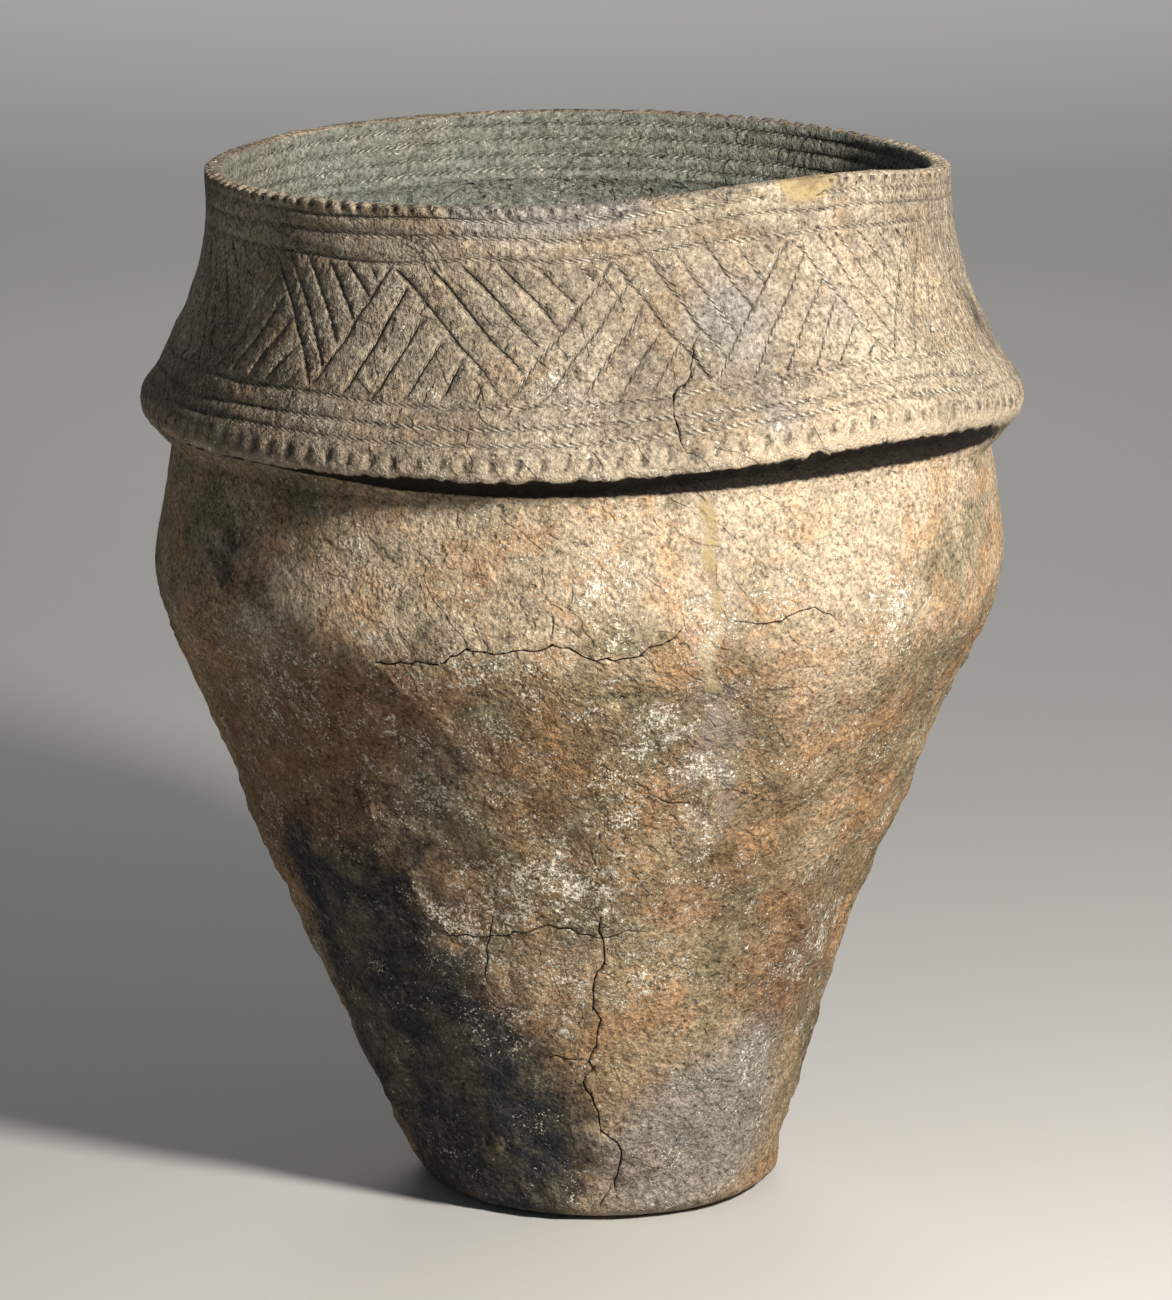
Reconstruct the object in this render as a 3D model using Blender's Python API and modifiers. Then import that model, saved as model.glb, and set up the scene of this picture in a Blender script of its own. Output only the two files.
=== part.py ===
"""Collared cremation urn of hand-built fired clay, at its real size.

The pot stands on its foot with its axis along +Z, and its decorated front faces -Y.
It is one piece of clay: foot, flaring body, rounded shoulder, short neck and a deep collar
whose face is covered with twisted-cord impressions. Lengths are metres, angles are degrees.
Azimuths are counted from the front towards +X.
"""

from math import atan2, cos, exp, hypot, pi, radians, sin

import bmesh
import bpy
from mathutils import Matrix, Vector
from mathutils.geometry import interpolate_bezier

# Foot and body
FOOT_FLAT_RADIUS = 0.054
HEEL_RADIUS = 0.0715
HEEL_HEIGHT = 0.0075
FLANK_HOLLOW = 0.0036
SHOULDER_RADIUS = 0.1650
SHOULDER_HEIGHT = 0.2434
SHOULDER_ROUNDING = 0.0160
NECK_RADIUS = 0.1570
NECK_RISE = 0.0526

# Collar: rises count up from the neck, where the collar's underside leaves the wall
COLLAR_HEIGHT = 0.1060
EDGE_RADIUS = 0.1697
EDGE_RISE = 0.0150
EDGE_HALF_HEIGHT = 0.0068
UNDER_SETBACK = 0.0036
TOP_SETBACK = 0.0016
FACE_FLARE = 0.70
FACE_LOW_PULL = 0.0200
FACE_HIGH_PULL = 0.0240
COLLAR_TOP_RADIUS = 0.1423
RIM_WAIST_DROP = 0.0130

# Walls, lip and the bevel inside the lip
WALL = 0.0105
FLOOR = 0.0130
FLOOR_FILLET = 0.0160
LIP_WIDTH = 0.0076
LIP_FALL = 0.0008
BEVEL_DEPTH = 0.0260
LEDGE = 0.0014
LEDGE_SETBACK = 0.0030

# Twisted-cord impressions: drops count down from the rim, rises up from the neck
CORD_DEPTH = 0.0012
CORD_HALF_WIDTH = 0.0013
UPPER_CORD_DROPS = (0.0055, 0.0120, 0.0200)
LOWER_CORD_RISES = (0.0245, 0.0300, 0.0375)
HATCH_GAP = 0.0016
HATCH_UNITS = 14
SEEN_UNITS = 5
SEEN_STROKES = 6
HIDDEN_STROKES = 4
FIRST_UNIT = -59.0
FIRST_WIDTHS = (26.0, 22.8, 28.2, 26.0, 26.0)
FIRST_APEXES = (0.50, 0.26, 0.54, 0.49, 0.50)

# Nicks across the lip, and fingernail dents along the collar's edge
LIP_NICKS = 120
NICK_DEPTH = 0.0022
NICK_HALF_WIDTH = 0.0017
NICK_SLANT = 3.0
NICK_RUNOUT = 1.2
EDGE_DENTS = 116
DENT_DEPTH = 0.0019
DENT_HALF_WIDTH = 0.0025
FILL_START = 26.0
FILL_END = 38.0

# The uneven set of a hand-built pot
LEAN = 0.0090
BOW = 0.0049
WAVER = 0.0033
HUMP_AZIMUTH = 42.0
HUMP_SPREAD = 33.0
EDGE_HUMP = 0.0110
RIM_HUMP = 0.0092
SADDLE = 0.0015

SEGMENTS = 44
MERGE = 0.000002

NECK_HEIGHT = SHOULDER_HEIGHT + NECK_RISE
EDGE_HEIGHT = NECK_HEIGHT + EDGE_RISE
RIM_HEIGHT = NECK_HEIGHT + COLLAR_HEIGHT


def clear_scene():
    for obj in list(bpy.data.objects):
        bpy.data.objects.remove(obj)


def between(a, b, share):
    return tuple(p + (q - p) * share for p, q in zip(a, b))


def bezier(start, start_pull, end_pull, end, rows):
    """Points (radius, height) on one cubic stretch, without its first point."""
    knots = [Vector((r, 0.0, z)) for r, z in (start, start_pull, end_pull, end)]
    return [(p.x, p.z) for p in interpolate_bezier(*knots, rows + 1)[1:]]


def rounded_corner(before, corner, after, length, rows):
    """A soft bend in place of a corner, from one tangent point to the other."""
    ends = []
    for other in (before, after):
        span = hypot(corner[0] - other[0], corner[1] - other[1])
        ends.append(between(corner, other, min(length / span, 0.5)))
    pulls = [between(end, corner, 0.66) for end in ends]
    return [ends[0]] + bezier(ends[0], pulls[0], pulls[1], ends[1], rows)


def body_side(inset, low, rows):
    """Flank, shoulder and neck above the point low, set in by the wall's thickness."""
    corner = (SHOULDER_RADIUS - inset, SHOULDER_HEIGHT)
    neck = (NECK_RADIUS - inset, NECK_HEIGHT)
    bend = rounded_corner(low, corner, neck, SHOULDER_ROUNDING, rows)
    hollow = [(r - FLANK_HOLLOW, z) for r, z in (between(low, bend[0], 0.35), between(low, bend[0], 0.68))]
    return bezier(low, hollow[0], hollow[1], bend[0], rows) + bend[1:] + [neck]


def collar_edge():
    """The rounded edge of the collar: under it, at its widest, and over it."""
    return [
        (EDGE_RADIUS - UNDER_SETBACK, EDGE_HEIGHT - EDGE_HALF_HEIGHT),
        (EDGE_RADIUS, EDGE_HEIGHT),
        (EDGE_RADIUS - TOP_SETBACK, EDGE_HEIGHT + EDGE_HALF_HEIGHT),
    ]


def collar_face(rows):
    """The hollow face of the collar from just over its edge up to the waist under the rim."""
    low = collar_edge()[-1]
    high = (COLLAR_TOP_RADIUS, RIM_HEIGHT - RIM_WAIST_DROP)
    low_pull = (low[0] - FACE_FLARE * FACE_LOW_PULL, low[1] + FACE_LOW_PULL)
    high_pull = (high[0], high[1] - FACE_HIGH_PULL)
    return bezier(low, low_pull, high_pull, high, rows)


def body_outside():
    """From the foot's centre up the outside to just over the collar's edge."""
    foot = (FOOT_FLAT_RADIUS, 0.0)
    heel = (HEEL_RADIUS, HEEL_HEIGHT)
    under_heel = (between(foot, heel, 0.63)[0], 0.3 * HEEL_HEIGHT)
    lower = [(0.0, 0.0), foot, under_heel, heel]
    return lower + body_side(0.0, heel, 3) + collar_edge()


def lip():
    """The lip's outer and inner corner."""
    return [(COLLAR_TOP_RADIUS, RIM_HEIGHT - LIP_FALL), (COLLAR_TOP_RADIUS - LIP_WIDTH, RIM_HEIGHT)]


def inner_side():
    """From the floor's centre up the inside to the ledge under the lip's bevel."""
    low = (HEEL_RADIUS - WALL, FLOOR + FLOOR_FILLET)
    start = (low[0] - FLOOR_FILLET, FLOOR)
    corner = (low[0], FLOOR)
    points = [(0.0, FLOOR), start]
    points += bezier(start, between(start, corner, 0.6), between(low, corner, 0.6), low, 2)
    points += body_side(WALL, low, 2)
    bevel = COLLAR_TOP_RADIUS - LIP_WIDTH
    ledge_height = RIM_HEIGHT - BEVEL_DEPTH
    setback = (bevel + LEDGE_SETBACK - LEDGE, ledge_height - LEDGE_SETBACK)
    neck = points[-1]
    low_pull = (neck[0], between(neck, setback, 0.35)[1])
    points += bezier(neck, low_pull, between(neck, setback, 0.7), setback, 2)
    points += [(bevel - LEDGE, ledge_height), (bevel, ledge_height + LEDGE)]
    return points


def radius_at(side, height):
    """The radius of a side at a height, read from its last stretch that passes there."""
    found = side[-1][0]
    for (r0, z0), (r1, z1) in zip(side, side[1:]):
        if min(z0, z1) <= height <= max(z0, z1) and z0 != z1:
            found = r0 + (r1 - r0) * (height - z0) / (z1 - z0)
    return found


def ringed_face(smooth, cords):
    """The collar's face with a V groove at each cord, and one bend between the two groups."""
    points = []
    for height in cords:
        for shift, depth in ((-CORD_HALF_WIDTH, 0.0), (0.0, CORD_DEPTH), (CORD_HALF_WIDTH, 0.0)):
            points.append((radius_at(smooth, height + shift) - depth, height + shift))
    low, high = hatch_band(cords)
    bend = low + 0.4 * (high - low)
    points.append((radius_at(smooth, bend), bend))
    return sorted(points, key=lambda point: point[1])


def hatch_band(cords):
    """The cords just under and just over the hatched band."""
    gap, low, high = max((high - low, low, high) for low, high in zip(cords, cords[1:]))
    return low, high


def turned_pot(chain):
    """The pot as if thrown true on its axis: a profile turned by a Screw modifier."""
    mesh = bpy.data.meshes.new("urn_profile")
    edges = [(i, i + 1) for i in range(len(chain) - 1)]
    mesh.from_pydata([(r, 0.0, z) for r, z in chain], edges, [])
    urn = bpy.data.objects.new("urn", mesh)
    screw = urn.modifiers.new("turning", "SCREW")
    screw.angle = 2 * pi
    screw.steps = SEGMENTS
    screw.render_steps = SEGMENTS
    screw.use_merge_vertices = True
    screw.merge_threshold = MERGE
    return urn


def polar(azimuth, radius, height):
    """A point by azimuth, at the mean depth of the pot's flat-sided rings."""
    turn = radians(azimuth)
    mean = 0.5 * radius * (1.0 + cos(pi / SEGMENTS))
    return Vector((mean * sin(turn), -mean * cos(turn), height))


def outward(azimuth):
    turn = radians(azimuth)
    return Vector((sin(turn), -cos(turn), 0.0))


def press(tool, start, end, out, depth, half_width):
    """One four-sided bar of a tool, whose lower edge presses a V groove from start to end."""
    along = (end - start).normalized()
    up = (out - along * out.dot(along)).normalized()
    across = along.cross(up)
    turn = Matrix((up * depth, across * half_width, along)).transposed().to_4x4()
    place = Matrix.Translation((start + end) / 2) @ turn
    bmesh.ops.create_cone(
        tool, cap_ends=True, segments=4, radius1=1.0, radius2=1.0, depth=(end - start).length, matrix=place
    )


def hatch_units():
    """The hatched triangles' bases and apexes: (start, apex, end, next apex, strokes)."""
    rest = HATCH_UNITS - SEEN_UNITS
    spare = (360.0 - sum(FIRST_WIDTHS)) / rest
    widths = list(FIRST_WIDTHS) + [spare] * rest
    shares = list(FIRST_APEXES) + [0.5] * rest
    units = []
    start = FIRST_UNIT
    for k, width in enumerate(widths):
        after = (k + 1) % len(widths)
        end = start + width
        strokes = SEEN_STROKES if k < SEEN_UNITS else HIDDEN_STROKES
        units.append((start, start + shares[k] * width, end, end + shares[after] * widths[after], strokes))
        start = end
    return units


def hatch_strokes(low, high):
    """Ends (azimuth, height) of every stroke: rising ones fill the upright triangles, and falling
    ones the triangles between them."""
    for start, apex, end, next_apex, strokes in hatch_units():
        for n in range(strokes):
            part = n / strokes
            top = high + (low - high) * part
            yield (start + (end - start) * part, low), (apex + (end - apex) * part, top)
            bottom = low + (high - low) * part
            yield (apex + (next_apex - apex) * part, high), (end + (next_apex - end) * part, bottom)


def hatch_tool(tool, face, low, high):
    """Cords laid across the face, each stopping a little short of the lines it would meet."""
    for start, end in hatch_strokes(low, high):
        middle = (start[0] + end[0]) / 2
        run = hypot(radians(end[0] - start[0]) * COLLAR_TOP_RADIUS, end[1] - start[1])
        cut = (HATCH_GAP + CORD_HALF_WIDTH) / run
        first, last = between(start, end, cut), between(start, end, 1.0 - cut)
        places = [polar(azimuth, radius_at(face, height), height) for azimuth, height in (first, last)]
        press(tool, places[0], places[1], outward(middle), CORD_DEPTH, CORD_HALF_WIDTH)


def nick_tool(tool):
    """Slanting nicks in the lip's outer edge, except where the lip is broken and filled."""
    reach = 0.5 * LIP_WIDTH
    rise = NICK_RUNOUT * NICK_DEPTH
    step = 360.0 / LIP_NICKS
    for k in range(LIP_NICKS):
        azimuth = -180.0 + step * (k + 0.25)
        if FILL_START < azimuth < FILL_END:
            continue
        inner = polar(azimuth - NICK_SLANT / 2, COLLAR_TOP_RADIUS - LIP_WIDTH, RIM_HEIGHT + rise)
        outer = polar(azimuth + NICK_SLANT / 2, COLLAR_TOP_RADIUS + reach, RIM_HEIGHT - rise / 2)
        press(tool, inner, outer, Vector((0.0, 0.0, 1.0)), NICK_DEPTH, NICK_HALF_WIDTH)


def dent_tool(tool):
    """Upright dents along the collar's edge, each lying on the chord across its rounding."""
    under, _, over = collar_edge()
    lean = (over[0] - under[0]) / 2
    step = 360.0 / EDGE_DENTS
    for k in range(EDGE_DENTS):
        azimuth = -180.0 + step * (k + 0.25)
        low = polar(azimuth, EDGE_RADIUS - lean, EDGE_HEIGHT - EDGE_HALF_HEIGHT)
        high = polar(azimuth, EDGE_RADIUS + lean, EDGE_HEIGHT + EDGE_HALF_HEIGHT)
        press(tool, low, high, outward(azimuth), DENT_DEPTH, DENT_HALF_WIDTH)


def cutter(name, tool):
    mesh = bpy.data.meshes.new(name)
    bmesh.ops.recalc_face_normals(tool, faces=tool.faces)
    tool.to_mesh(mesh)
    tool.free()
    body = bpy.data.objects.new(name, mesh)
    body.hide_render = True
    body.display_type = "WIRE"
    return body


def sway(height):
    """Sideways stray of the centre line."""
    share = height / RIM_HEIGHT
    return -LEAN * share - BOW * sin(pi * share) - WAVER * sin(2 * pi * share)


def lift(azimuth, height):
    """How far the collar rides up or down round the pot: nothing below the neck."""
    off = (azimuth - HUMP_AZIMUTH + 180.0) % 360.0 - 180.0
    hump = exp(-((off / HUMP_SPREAD) ** 2))
    saddle = SADDLE * cos(2 * radians(azimuth))
    if height < EDGE_HEIGHT:
        return max((height - NECK_HEIGHT) / EDGE_RISE, 0.0) * EDGE_HUMP * hump
    share = (height - EDGE_HEIGHT) / (RIM_HEIGHT - EDGE_HEIGHT)
    return (EDGE_HUMP + (RIM_HUMP - EDGE_HUMP) * share) * hump + saddle * share


def settle(urn):
    """Turns the true pot into the real one: its cuts are taken up, then the clay leans and waves."""
    graph = bpy.context.evaluated_depsgraph_get()
    mesh = bpy.data.meshes.new_from_object(urn.evaluated_get(graph))
    urn.modifiers.clear()
    clay = bmesh.new()
    clay.from_mesh(mesh)
    bmesh.ops.remove_doubles(clay, verts=clay.verts, dist=MERGE)
    bmesh.ops.triangulate(clay, faces=clay.faces)
    for vert in clay.verts:
        x, y, z = vert.co
        azimuth = atan2(x, -y) * 180.0 / pi
        vert.co = (x + sway(z), y, z + lift(azimuth, z))
    clay.to_mesh(mesh)
    clay.free()
    urn.data = mesh
    urn.data.shade_smooth()
    urn.data.set_sharp_from_angle(angle=radians(35.0))


def fired_clay():
    clay = bpy.data.materials.new("fired_clay")
    clay.use_nodes = True
    shader = clay.node_tree.nodes["Principled BSDF"]
    shader.inputs["Base Color"].default_value = (0.30, 0.20, 0.12, 1.0)
    shader.inputs["Roughness"].default_value = 0.9
    shader.inputs["Metallic"].default_value = 0.0
    return clay


def main():
    clear_scene()
    pot = bpy.data.collections.new("collared_urn")
    helpers = bpy.data.collections.new("cutters")
    bpy.context.scene.collection.children.link(pot)
    bpy.context.scene.collection.children.link(helpers)

    smooth = body_outside() + collar_face(16)
    cords = [NECK_HEIGHT + rise for rise in LOWER_CORD_RISES]
    cords += sorted(RIM_HEIGHT - drop for drop in UPPER_CORD_DROPS)
    face = ringed_face(smooth, cords)
    outside = body_outside() + face
    urn = turned_pot(inner_side() + lip()[::-1] + outside[::-1])
    pot.objects.link(urn)

    tools = {name: bmesh.new() for name in ("hatch_cords", "lip_nicks", "edge_dents")}
    hatch_tool(tools["hatch_cords"], face, *hatch_band(cords))
    nick_tool(tools["lip_nicks"])
    dent_tool(tools["edge_dents"])
    for name, tool in tools.items():
        body = cutter(name, tool)
        helpers.objects.link(body)
        cut = urn.modifiers.new(name, "BOOLEAN")
        cut.operation = "DIFFERENCE"
        cut.object = body
    bpy.context.view_layer.update()
    settle(urn)
    urn.data.materials.clear()
    urn.data.materials.append(fired_clay())


main()
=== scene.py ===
# %% [markdown]
# A collared cremation urn
#
# The real pot was coiled up by hand from coarse clay, about four thousand years ago. It has a small
# flat foot, a flaring body, a rounded shoulder and a deep collar. Twisted cord was pressed into the
# collar while the clay was soft, and the urn was fired in an open bonfire, which left it buff and
# red where air reached it and blue-black where it lay in ash. This lesson builds the dressed pot
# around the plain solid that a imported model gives, and starts by loading that solid.

from math import atan2, ceil, cos, degrees, exp, hypot, pi, radians, sin

import bmesh
import bpy
import numpy as np
from mathutils import Matrix, Vector, noise
from mathutils.bvhtree import BVHTree
from mathutils.geometry import interpolate_bezier


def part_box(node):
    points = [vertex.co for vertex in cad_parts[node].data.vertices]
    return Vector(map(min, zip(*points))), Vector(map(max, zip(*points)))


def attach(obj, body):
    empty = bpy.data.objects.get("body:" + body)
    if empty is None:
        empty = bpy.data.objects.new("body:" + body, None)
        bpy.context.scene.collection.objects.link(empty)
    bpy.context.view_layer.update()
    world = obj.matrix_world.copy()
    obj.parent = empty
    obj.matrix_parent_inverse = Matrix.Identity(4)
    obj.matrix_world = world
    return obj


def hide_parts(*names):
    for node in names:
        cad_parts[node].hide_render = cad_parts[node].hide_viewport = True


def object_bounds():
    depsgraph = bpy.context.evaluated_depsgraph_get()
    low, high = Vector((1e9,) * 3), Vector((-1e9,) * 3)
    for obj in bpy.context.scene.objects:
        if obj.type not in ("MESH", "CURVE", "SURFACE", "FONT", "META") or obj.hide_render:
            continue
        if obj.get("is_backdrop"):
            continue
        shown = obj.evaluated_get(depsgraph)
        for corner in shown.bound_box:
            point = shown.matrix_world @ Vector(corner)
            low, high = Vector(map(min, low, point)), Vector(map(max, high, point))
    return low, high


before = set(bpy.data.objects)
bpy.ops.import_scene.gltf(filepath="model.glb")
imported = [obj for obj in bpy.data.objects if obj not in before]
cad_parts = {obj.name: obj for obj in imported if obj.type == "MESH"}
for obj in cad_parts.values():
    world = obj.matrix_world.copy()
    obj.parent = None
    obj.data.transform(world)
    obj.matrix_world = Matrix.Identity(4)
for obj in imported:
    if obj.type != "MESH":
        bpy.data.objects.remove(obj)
cad_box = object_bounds()
foot_point, top_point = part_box("urn")
print("solid urn, metres:", [round(top - low, 4) for low, top in zip(foot_point, top_point)])

# %% [markdown]
# The camera
#
# A long lens from a little above gives the photograph's quiet perspective: the rim is a thin oval
# and the foot a shallow curve. The lens is worked out from its focal length in picture pixels and the
# picture's long side, so that the numbers do not depend on how large the render is.

# %% Place the camera
PICTURE = (1172, 1300)
FOCAL_PIXELS = 6073.6
CAMERA_PLACE = Vector((-0.0056, -2.300, 0.720))
CAMERA_PITCH = 12.493
SENSOR = 36.0
LENS = SENSOR * FOCAL_PIXELS / PICTURE[1]
CLIP_END = 60.0

camera_data = bpy.data.cameras.new("front_camera")
camera_data.sensor_fit = "VERTICAL"
camera_data.sensor_height = SENSOR
camera_data.lens = LENS
camera_data.clip_end = CLIP_END
camera = bpy.data.objects.new("front_camera", camera_data)
camera.location = CAMERA_PLACE
camera.rotation_euler = (radians(90.0 - CAMERA_PITCH), 0.0, 0.0)
bpy.context.scene.collection.objects.link(camera)
bpy.context.scene.camera = camera
print("lens", round(LENS, 1), "mm")

# %% [markdown]
# The pot's sizes
#
# A potter would think of the urn as a few rings: foot, heel, shoulder, neck, collar edge and lip.
# These are the solid's own sizes in metres, so the dressed pot fills the same space. Heights are
# those of a pot that stands true, before it is allowed to lean and wave.

# %% Name the sizes
FOOT_FLAT_RADIUS = 0.054
HEEL_RADIUS = 0.0715
HEEL_HEIGHT = 0.0075
FLANK_HOLLOW = 0.0036
SHOULDER_RADIUS = 0.1650
SHOULDER_HEIGHT = 0.2434
SHOULDER_ROUNDING = 0.0160
NECK_RADIUS = 0.1570
NECK_HEIGHT = 0.2960
EDGE_RADIUS = 0.1697
EDGE_HEIGHT = 0.3110
EDGE_OVER = (0.1681, 0.3178)
COLLAR_TOP_RADIUS = 0.1423
WAIST_HEIGHT = 0.3890
RIM_HEIGHT = 0.4020
WALL = 0.0105
FLOOR = 0.0130
FLOOR_FILLET = 0.0160
LIP_WIDTH = 0.0076
LIP_RISE = 0.0016
INNER_LIP_RISE = 0.0012
LEDGE_DROP = 0.0260
LEDGE_SLOPE = 0.0035

CORD_DEPTH = 0.0008
CORD_HALF_WIDTH = 0.00100
LOWER_CORDS = (0.3205, 0.3260, 0.3335)
UPPER_CORDS = (0.3820, 0.3900, 0.3965)
INNER_CORDS = (0.3965, 0.3905, 0.3840, 0.3785)
print("rim", RIM_HEIGHT, "m; cords round the collar:", len(LOWER_CORDS + UPPER_CORDS))

# %% [markdown]
# The lean and the waves
#
# Nothing made from coils stands quite true. The centre line strays sideways as the eye follows it up,
# and on the right of the front the whole collar rides up in a hump. Each rule is a small formula, and
# every point of the true pot goes through it at the end, so nearby points always move together.

# %% Write the rules of unevenness
LEAN = 0.0090
BOW = 0.0049
WAVER = 0.0033
HUMP_AZIMUTH = 42.0
HUMP_SPREAD = 33.0
EDGE_HUMP = 0.0110
RIM_HUMP = 0.0092
SADDLE = 0.0015


def sway(level):
    """Sideways stray of the centre line at a level of the true pot."""
    share = level / RIM_HEIGHT
    return -LEAN * share - BOW * sin(pi * share) - WAVER * sin(2 * pi * share)


def lift(azimuth, level):
    """How far the collar rides up at an azimuth in degrees, nothing below the neck."""
    off = (azimuth - HUMP_AZIMUTH + 180.0) % 360.0 - 180.0
    hump = exp(-((off / HUMP_SPREAD) ** 2))
    if level < EDGE_HEIGHT:
        rise = max((level - NECK_HEIGHT) / (EDGE_HEIGHT - NECK_HEIGHT), 0.0)
        return rise * EDGE_HUMP * hump
    share = (level - EDGE_HEIGHT) / (RIM_HEIGHT - EDGE_HEIGHT)
    saddle = SADDLE * cos(2 * radians(azimuth)) * share
    return (EDGE_HUMP + (RIM_HUMP - EDGE_HUMP) * share) * hump + saddle


def azimuth_of(x, y):
    """Degrees round from the front (-Y) towards +X."""
    return atan2(x, -y) * 180.0 / pi


def polar(azimuth, radius, level):
    turn = radians(azimuth)
    return Vector((radius * sin(turn), -radius * cos(turn), level))


print("top of the hump stands", round(lift(HUMP_AZIMUTH, RIM_HEIGHT) * 1000, 1), "mm over the rim")

# %% [markdown]
# The profile
#
# One line, drawn as a potter's template would be cut, goes from the middle of the foot up the
# outside, over the lip and down the inside. Bezier stretches join the named rings. Bending them is
# better than a few straight cuts, because the shoulder and the collar's edge are worn round.


# %% Draw the template
def between(a, b, share):
    return tuple(p + (q - p) * share for p, q in zip(a, b))


def bezier(start, start_pull, end_pull, end, rows=24):
    """Points (radius, level) on one cubic stretch, without its first point."""
    knots = [Vector((r, 0.0, z)) for r, z in (start, start_pull, end_pull, end)]
    return [(p.x, p.z) for p in interpolate_bezier(*knots, rows + 1)[1:]]


def rounded_corner(before, corner, after, length):
    """A soft bend in place of a corner, from one tangent point to the other."""
    ends = []
    for other in (before, after):
        span = hypot(corner[0] - other[0], corner[1] - other[1])
        ends.append(between(corner, other, min(length / span, 0.5)))
    pulls = [between(end, corner, 0.66) for end in ends]
    return [ends[0]] + bezier(ends[0], pulls[0], pulls[1], ends[1])


def body_side(inset, low):
    """Flank, shoulder and neck above the point low, set in by the wall's thickness."""
    corner = (SHOULDER_RADIUS - inset, SHOULDER_HEIGHT)
    neck = (NECK_RADIUS - inset, NECK_HEIGHT)
    bend = rounded_corner(low, corner, neck, SHOULDER_ROUNDING)
    hollow = [(r - FLANK_HOLLOW, z) for r, z in (between(low, bend[0], 0.35), between(low, bend[0], 0.68))]
    return bezier(low, hollow[0], hollow[1], bend[0]) + bend[1:] + [neck]


def outer_template():
    foot = (FOOT_FLAT_RADIUS, 0.0)
    heel = (HEEL_RADIUS, HEEL_HEIGHT)
    neck = (NECK_RADIUS, NECK_HEIGHT)
    edge = (EDGE_RADIUS, EDGE_HEIGHT)
    waist = (COLLAR_TOP_RADIUS, WAIST_HEIGHT)
    side = [foot]
    side += bezier(foot, (foot[0] + 0.010, 0.0), (heel[0] - 0.0012, 0.4 * heel[1]), heel)
    side += body_side(0.0, heel)
    side += bezier(neck, (neck[0] + 0.0062, neck[1] + 0.0034), (edge[0], edge[1] - 0.0048), edge)
    side += bezier(edge, (edge[0], edge[1] + 0.003), (EDGE_OVER[0] + 0.0013, EDGE_OVER[1] - 0.002), EDGE_OVER)
    low_pull = (EDGE_OVER[0] - 0.014, EDGE_OVER[1] + 0.020)
    side += bezier(EDGE_OVER, low_pull, (waist[0], waist[1] - 0.024), waist)
    side.append((COLLAR_TOP_RADIUS, RIM_HEIGHT - LIP_RISE))
    return side


def inner_template():
    low = (HEEL_RADIUS - WALL, FLOOR + FLOOR_FILLET)
    start = (low[0] - FLOOR_FILLET, FLOOR)
    corner = (low[0], FLOOR)
    side = [start] + bezier(start, between(start, corner, 0.6), between(low, corner, 0.6), low)
    side += body_side(WALL, low)
    bevel = COLLAR_TOP_RADIUS - LIP_WIDTH
    neck = side[-1]
    ledge = (bevel - 0.0012, RIM_HEIGHT - LEDGE_DROP)
    setback = (bevel + 0.0016, ledge[1] - LEDGE_SLOPE)
    side += bezier(neck, (neck[0], neck[1] + 0.027), between(neck, setback, 0.7), setback)
    side += bezier(setback, (setback[0] - 0.001, setback[1] + 0.001), (ledge[0], ledge[1] - 0.001), ledge)
    side += [(bevel, ledge[1] + 0.002), (bevel, RIM_HEIGHT - INNER_LIP_RISE)]
    return side


def radius_at(side, level):
    """The radius of a template at a level."""
    if level <= side[0][1]:
        return side[0][0]
    for (r0, z0), (r1, z1) in zip(side, side[1:]):
        if z0 <= level <= z1 and z0 != z1:
            return r0 + (r1 - r0) * (level - z0) / (z1 - z0)
    return side[-1][0]


OUTSIDE = outer_template()
INSIDE = inner_template()
print("widest:", round(max(r for r, z in OUTSIDE) * 2000), "mm; mouth:", round(INSIDE[-1][0] * 2000), "mm")

# %% [markdown]
# The hollow under the collar
#
# At the front and the back the collar overhangs so sharply that a black line of shadow runs under its
# edge, while at the sides it slopes back to the neck. A second template line gives the sharp version,
# and a share that fades towards the sides says how much of it is used.

# %% Undercut the collar
UNDERCUT_EDGE = (0.1685, 0.3070)
UNDERCUT_FULL_WITHIN = 0.62


def undercut_template():
    neck = (NECK_RADIUS, NECK_HEIGHT)
    edge = (EDGE_RADIUS, EDGE_HEIGHT)
    hollow = bezier(neck, (0.1569, 0.3040), (0.1615, 0.3046), UNDERCUT_EDGE)
    return [neck] + hollow + bezier(UNDERCUT_EDGE, (0.1694, 0.3077), (EDGE_RADIUS, 0.3090), edge)


UNDERCUT = undercut_template()


def undercut(azimuth, level):
    """How much further in than the outside template the clay lies under the collar."""
    if not NECK_HEIGHT < level < EDGE_HEIGHT:
        return 0.0
    share = min(abs(cos(radians(azimuth))) / UNDERCUT_FULL_WITHIN, 1.0)
    return share ** 2 * max(radius_at(OUTSIDE, level) - radius_at(UNDERCUT, level), 0.0)


print("deepest undercut:", round(max(undercut(0.0, 0.296 + 0.001 * k) for k in range(15)) * 1000, 1), "mm")

# %% [markdown]
# The rows of the pot
#
# A lathe shape needs rows only where something happens. The flank gets one about every 3 mm, which
# carries its lumps, and each cord gets five rows of its own, so that its groove has a floor and two
# walls instead of a blurred dip.

# %% Choose the rows
FLANK_ROW = 0.0034
EDGE_ROW = 0.0013
HATCH_ROW = 0.0048
INNER_ROW = 0.0120
GROOVE_ROWS = (-1.0, -0.5, 0.0, 0.5, 1.0)


def spread(low, high, step):
    """Levels from low to high, both left out, at most a step apart."""
    count = max(ceil(abs(high - low) / step - 0.01), 1)
    return [low + (high - low) * k / count for k in range(1, count)]


def banded_levels(low, high, cords, step):
    """Levels between two heights with five rows in every cord."""
    levels = []
    last = low
    for cord in cords:
        rows = [cord + share * CORD_HALF_WIDTH for share in GROOVE_ROWS]
        levels += spread(last, rows[0], step) + rows
        last = rows[-1]
    return levels + spread(last, high, step)


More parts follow.
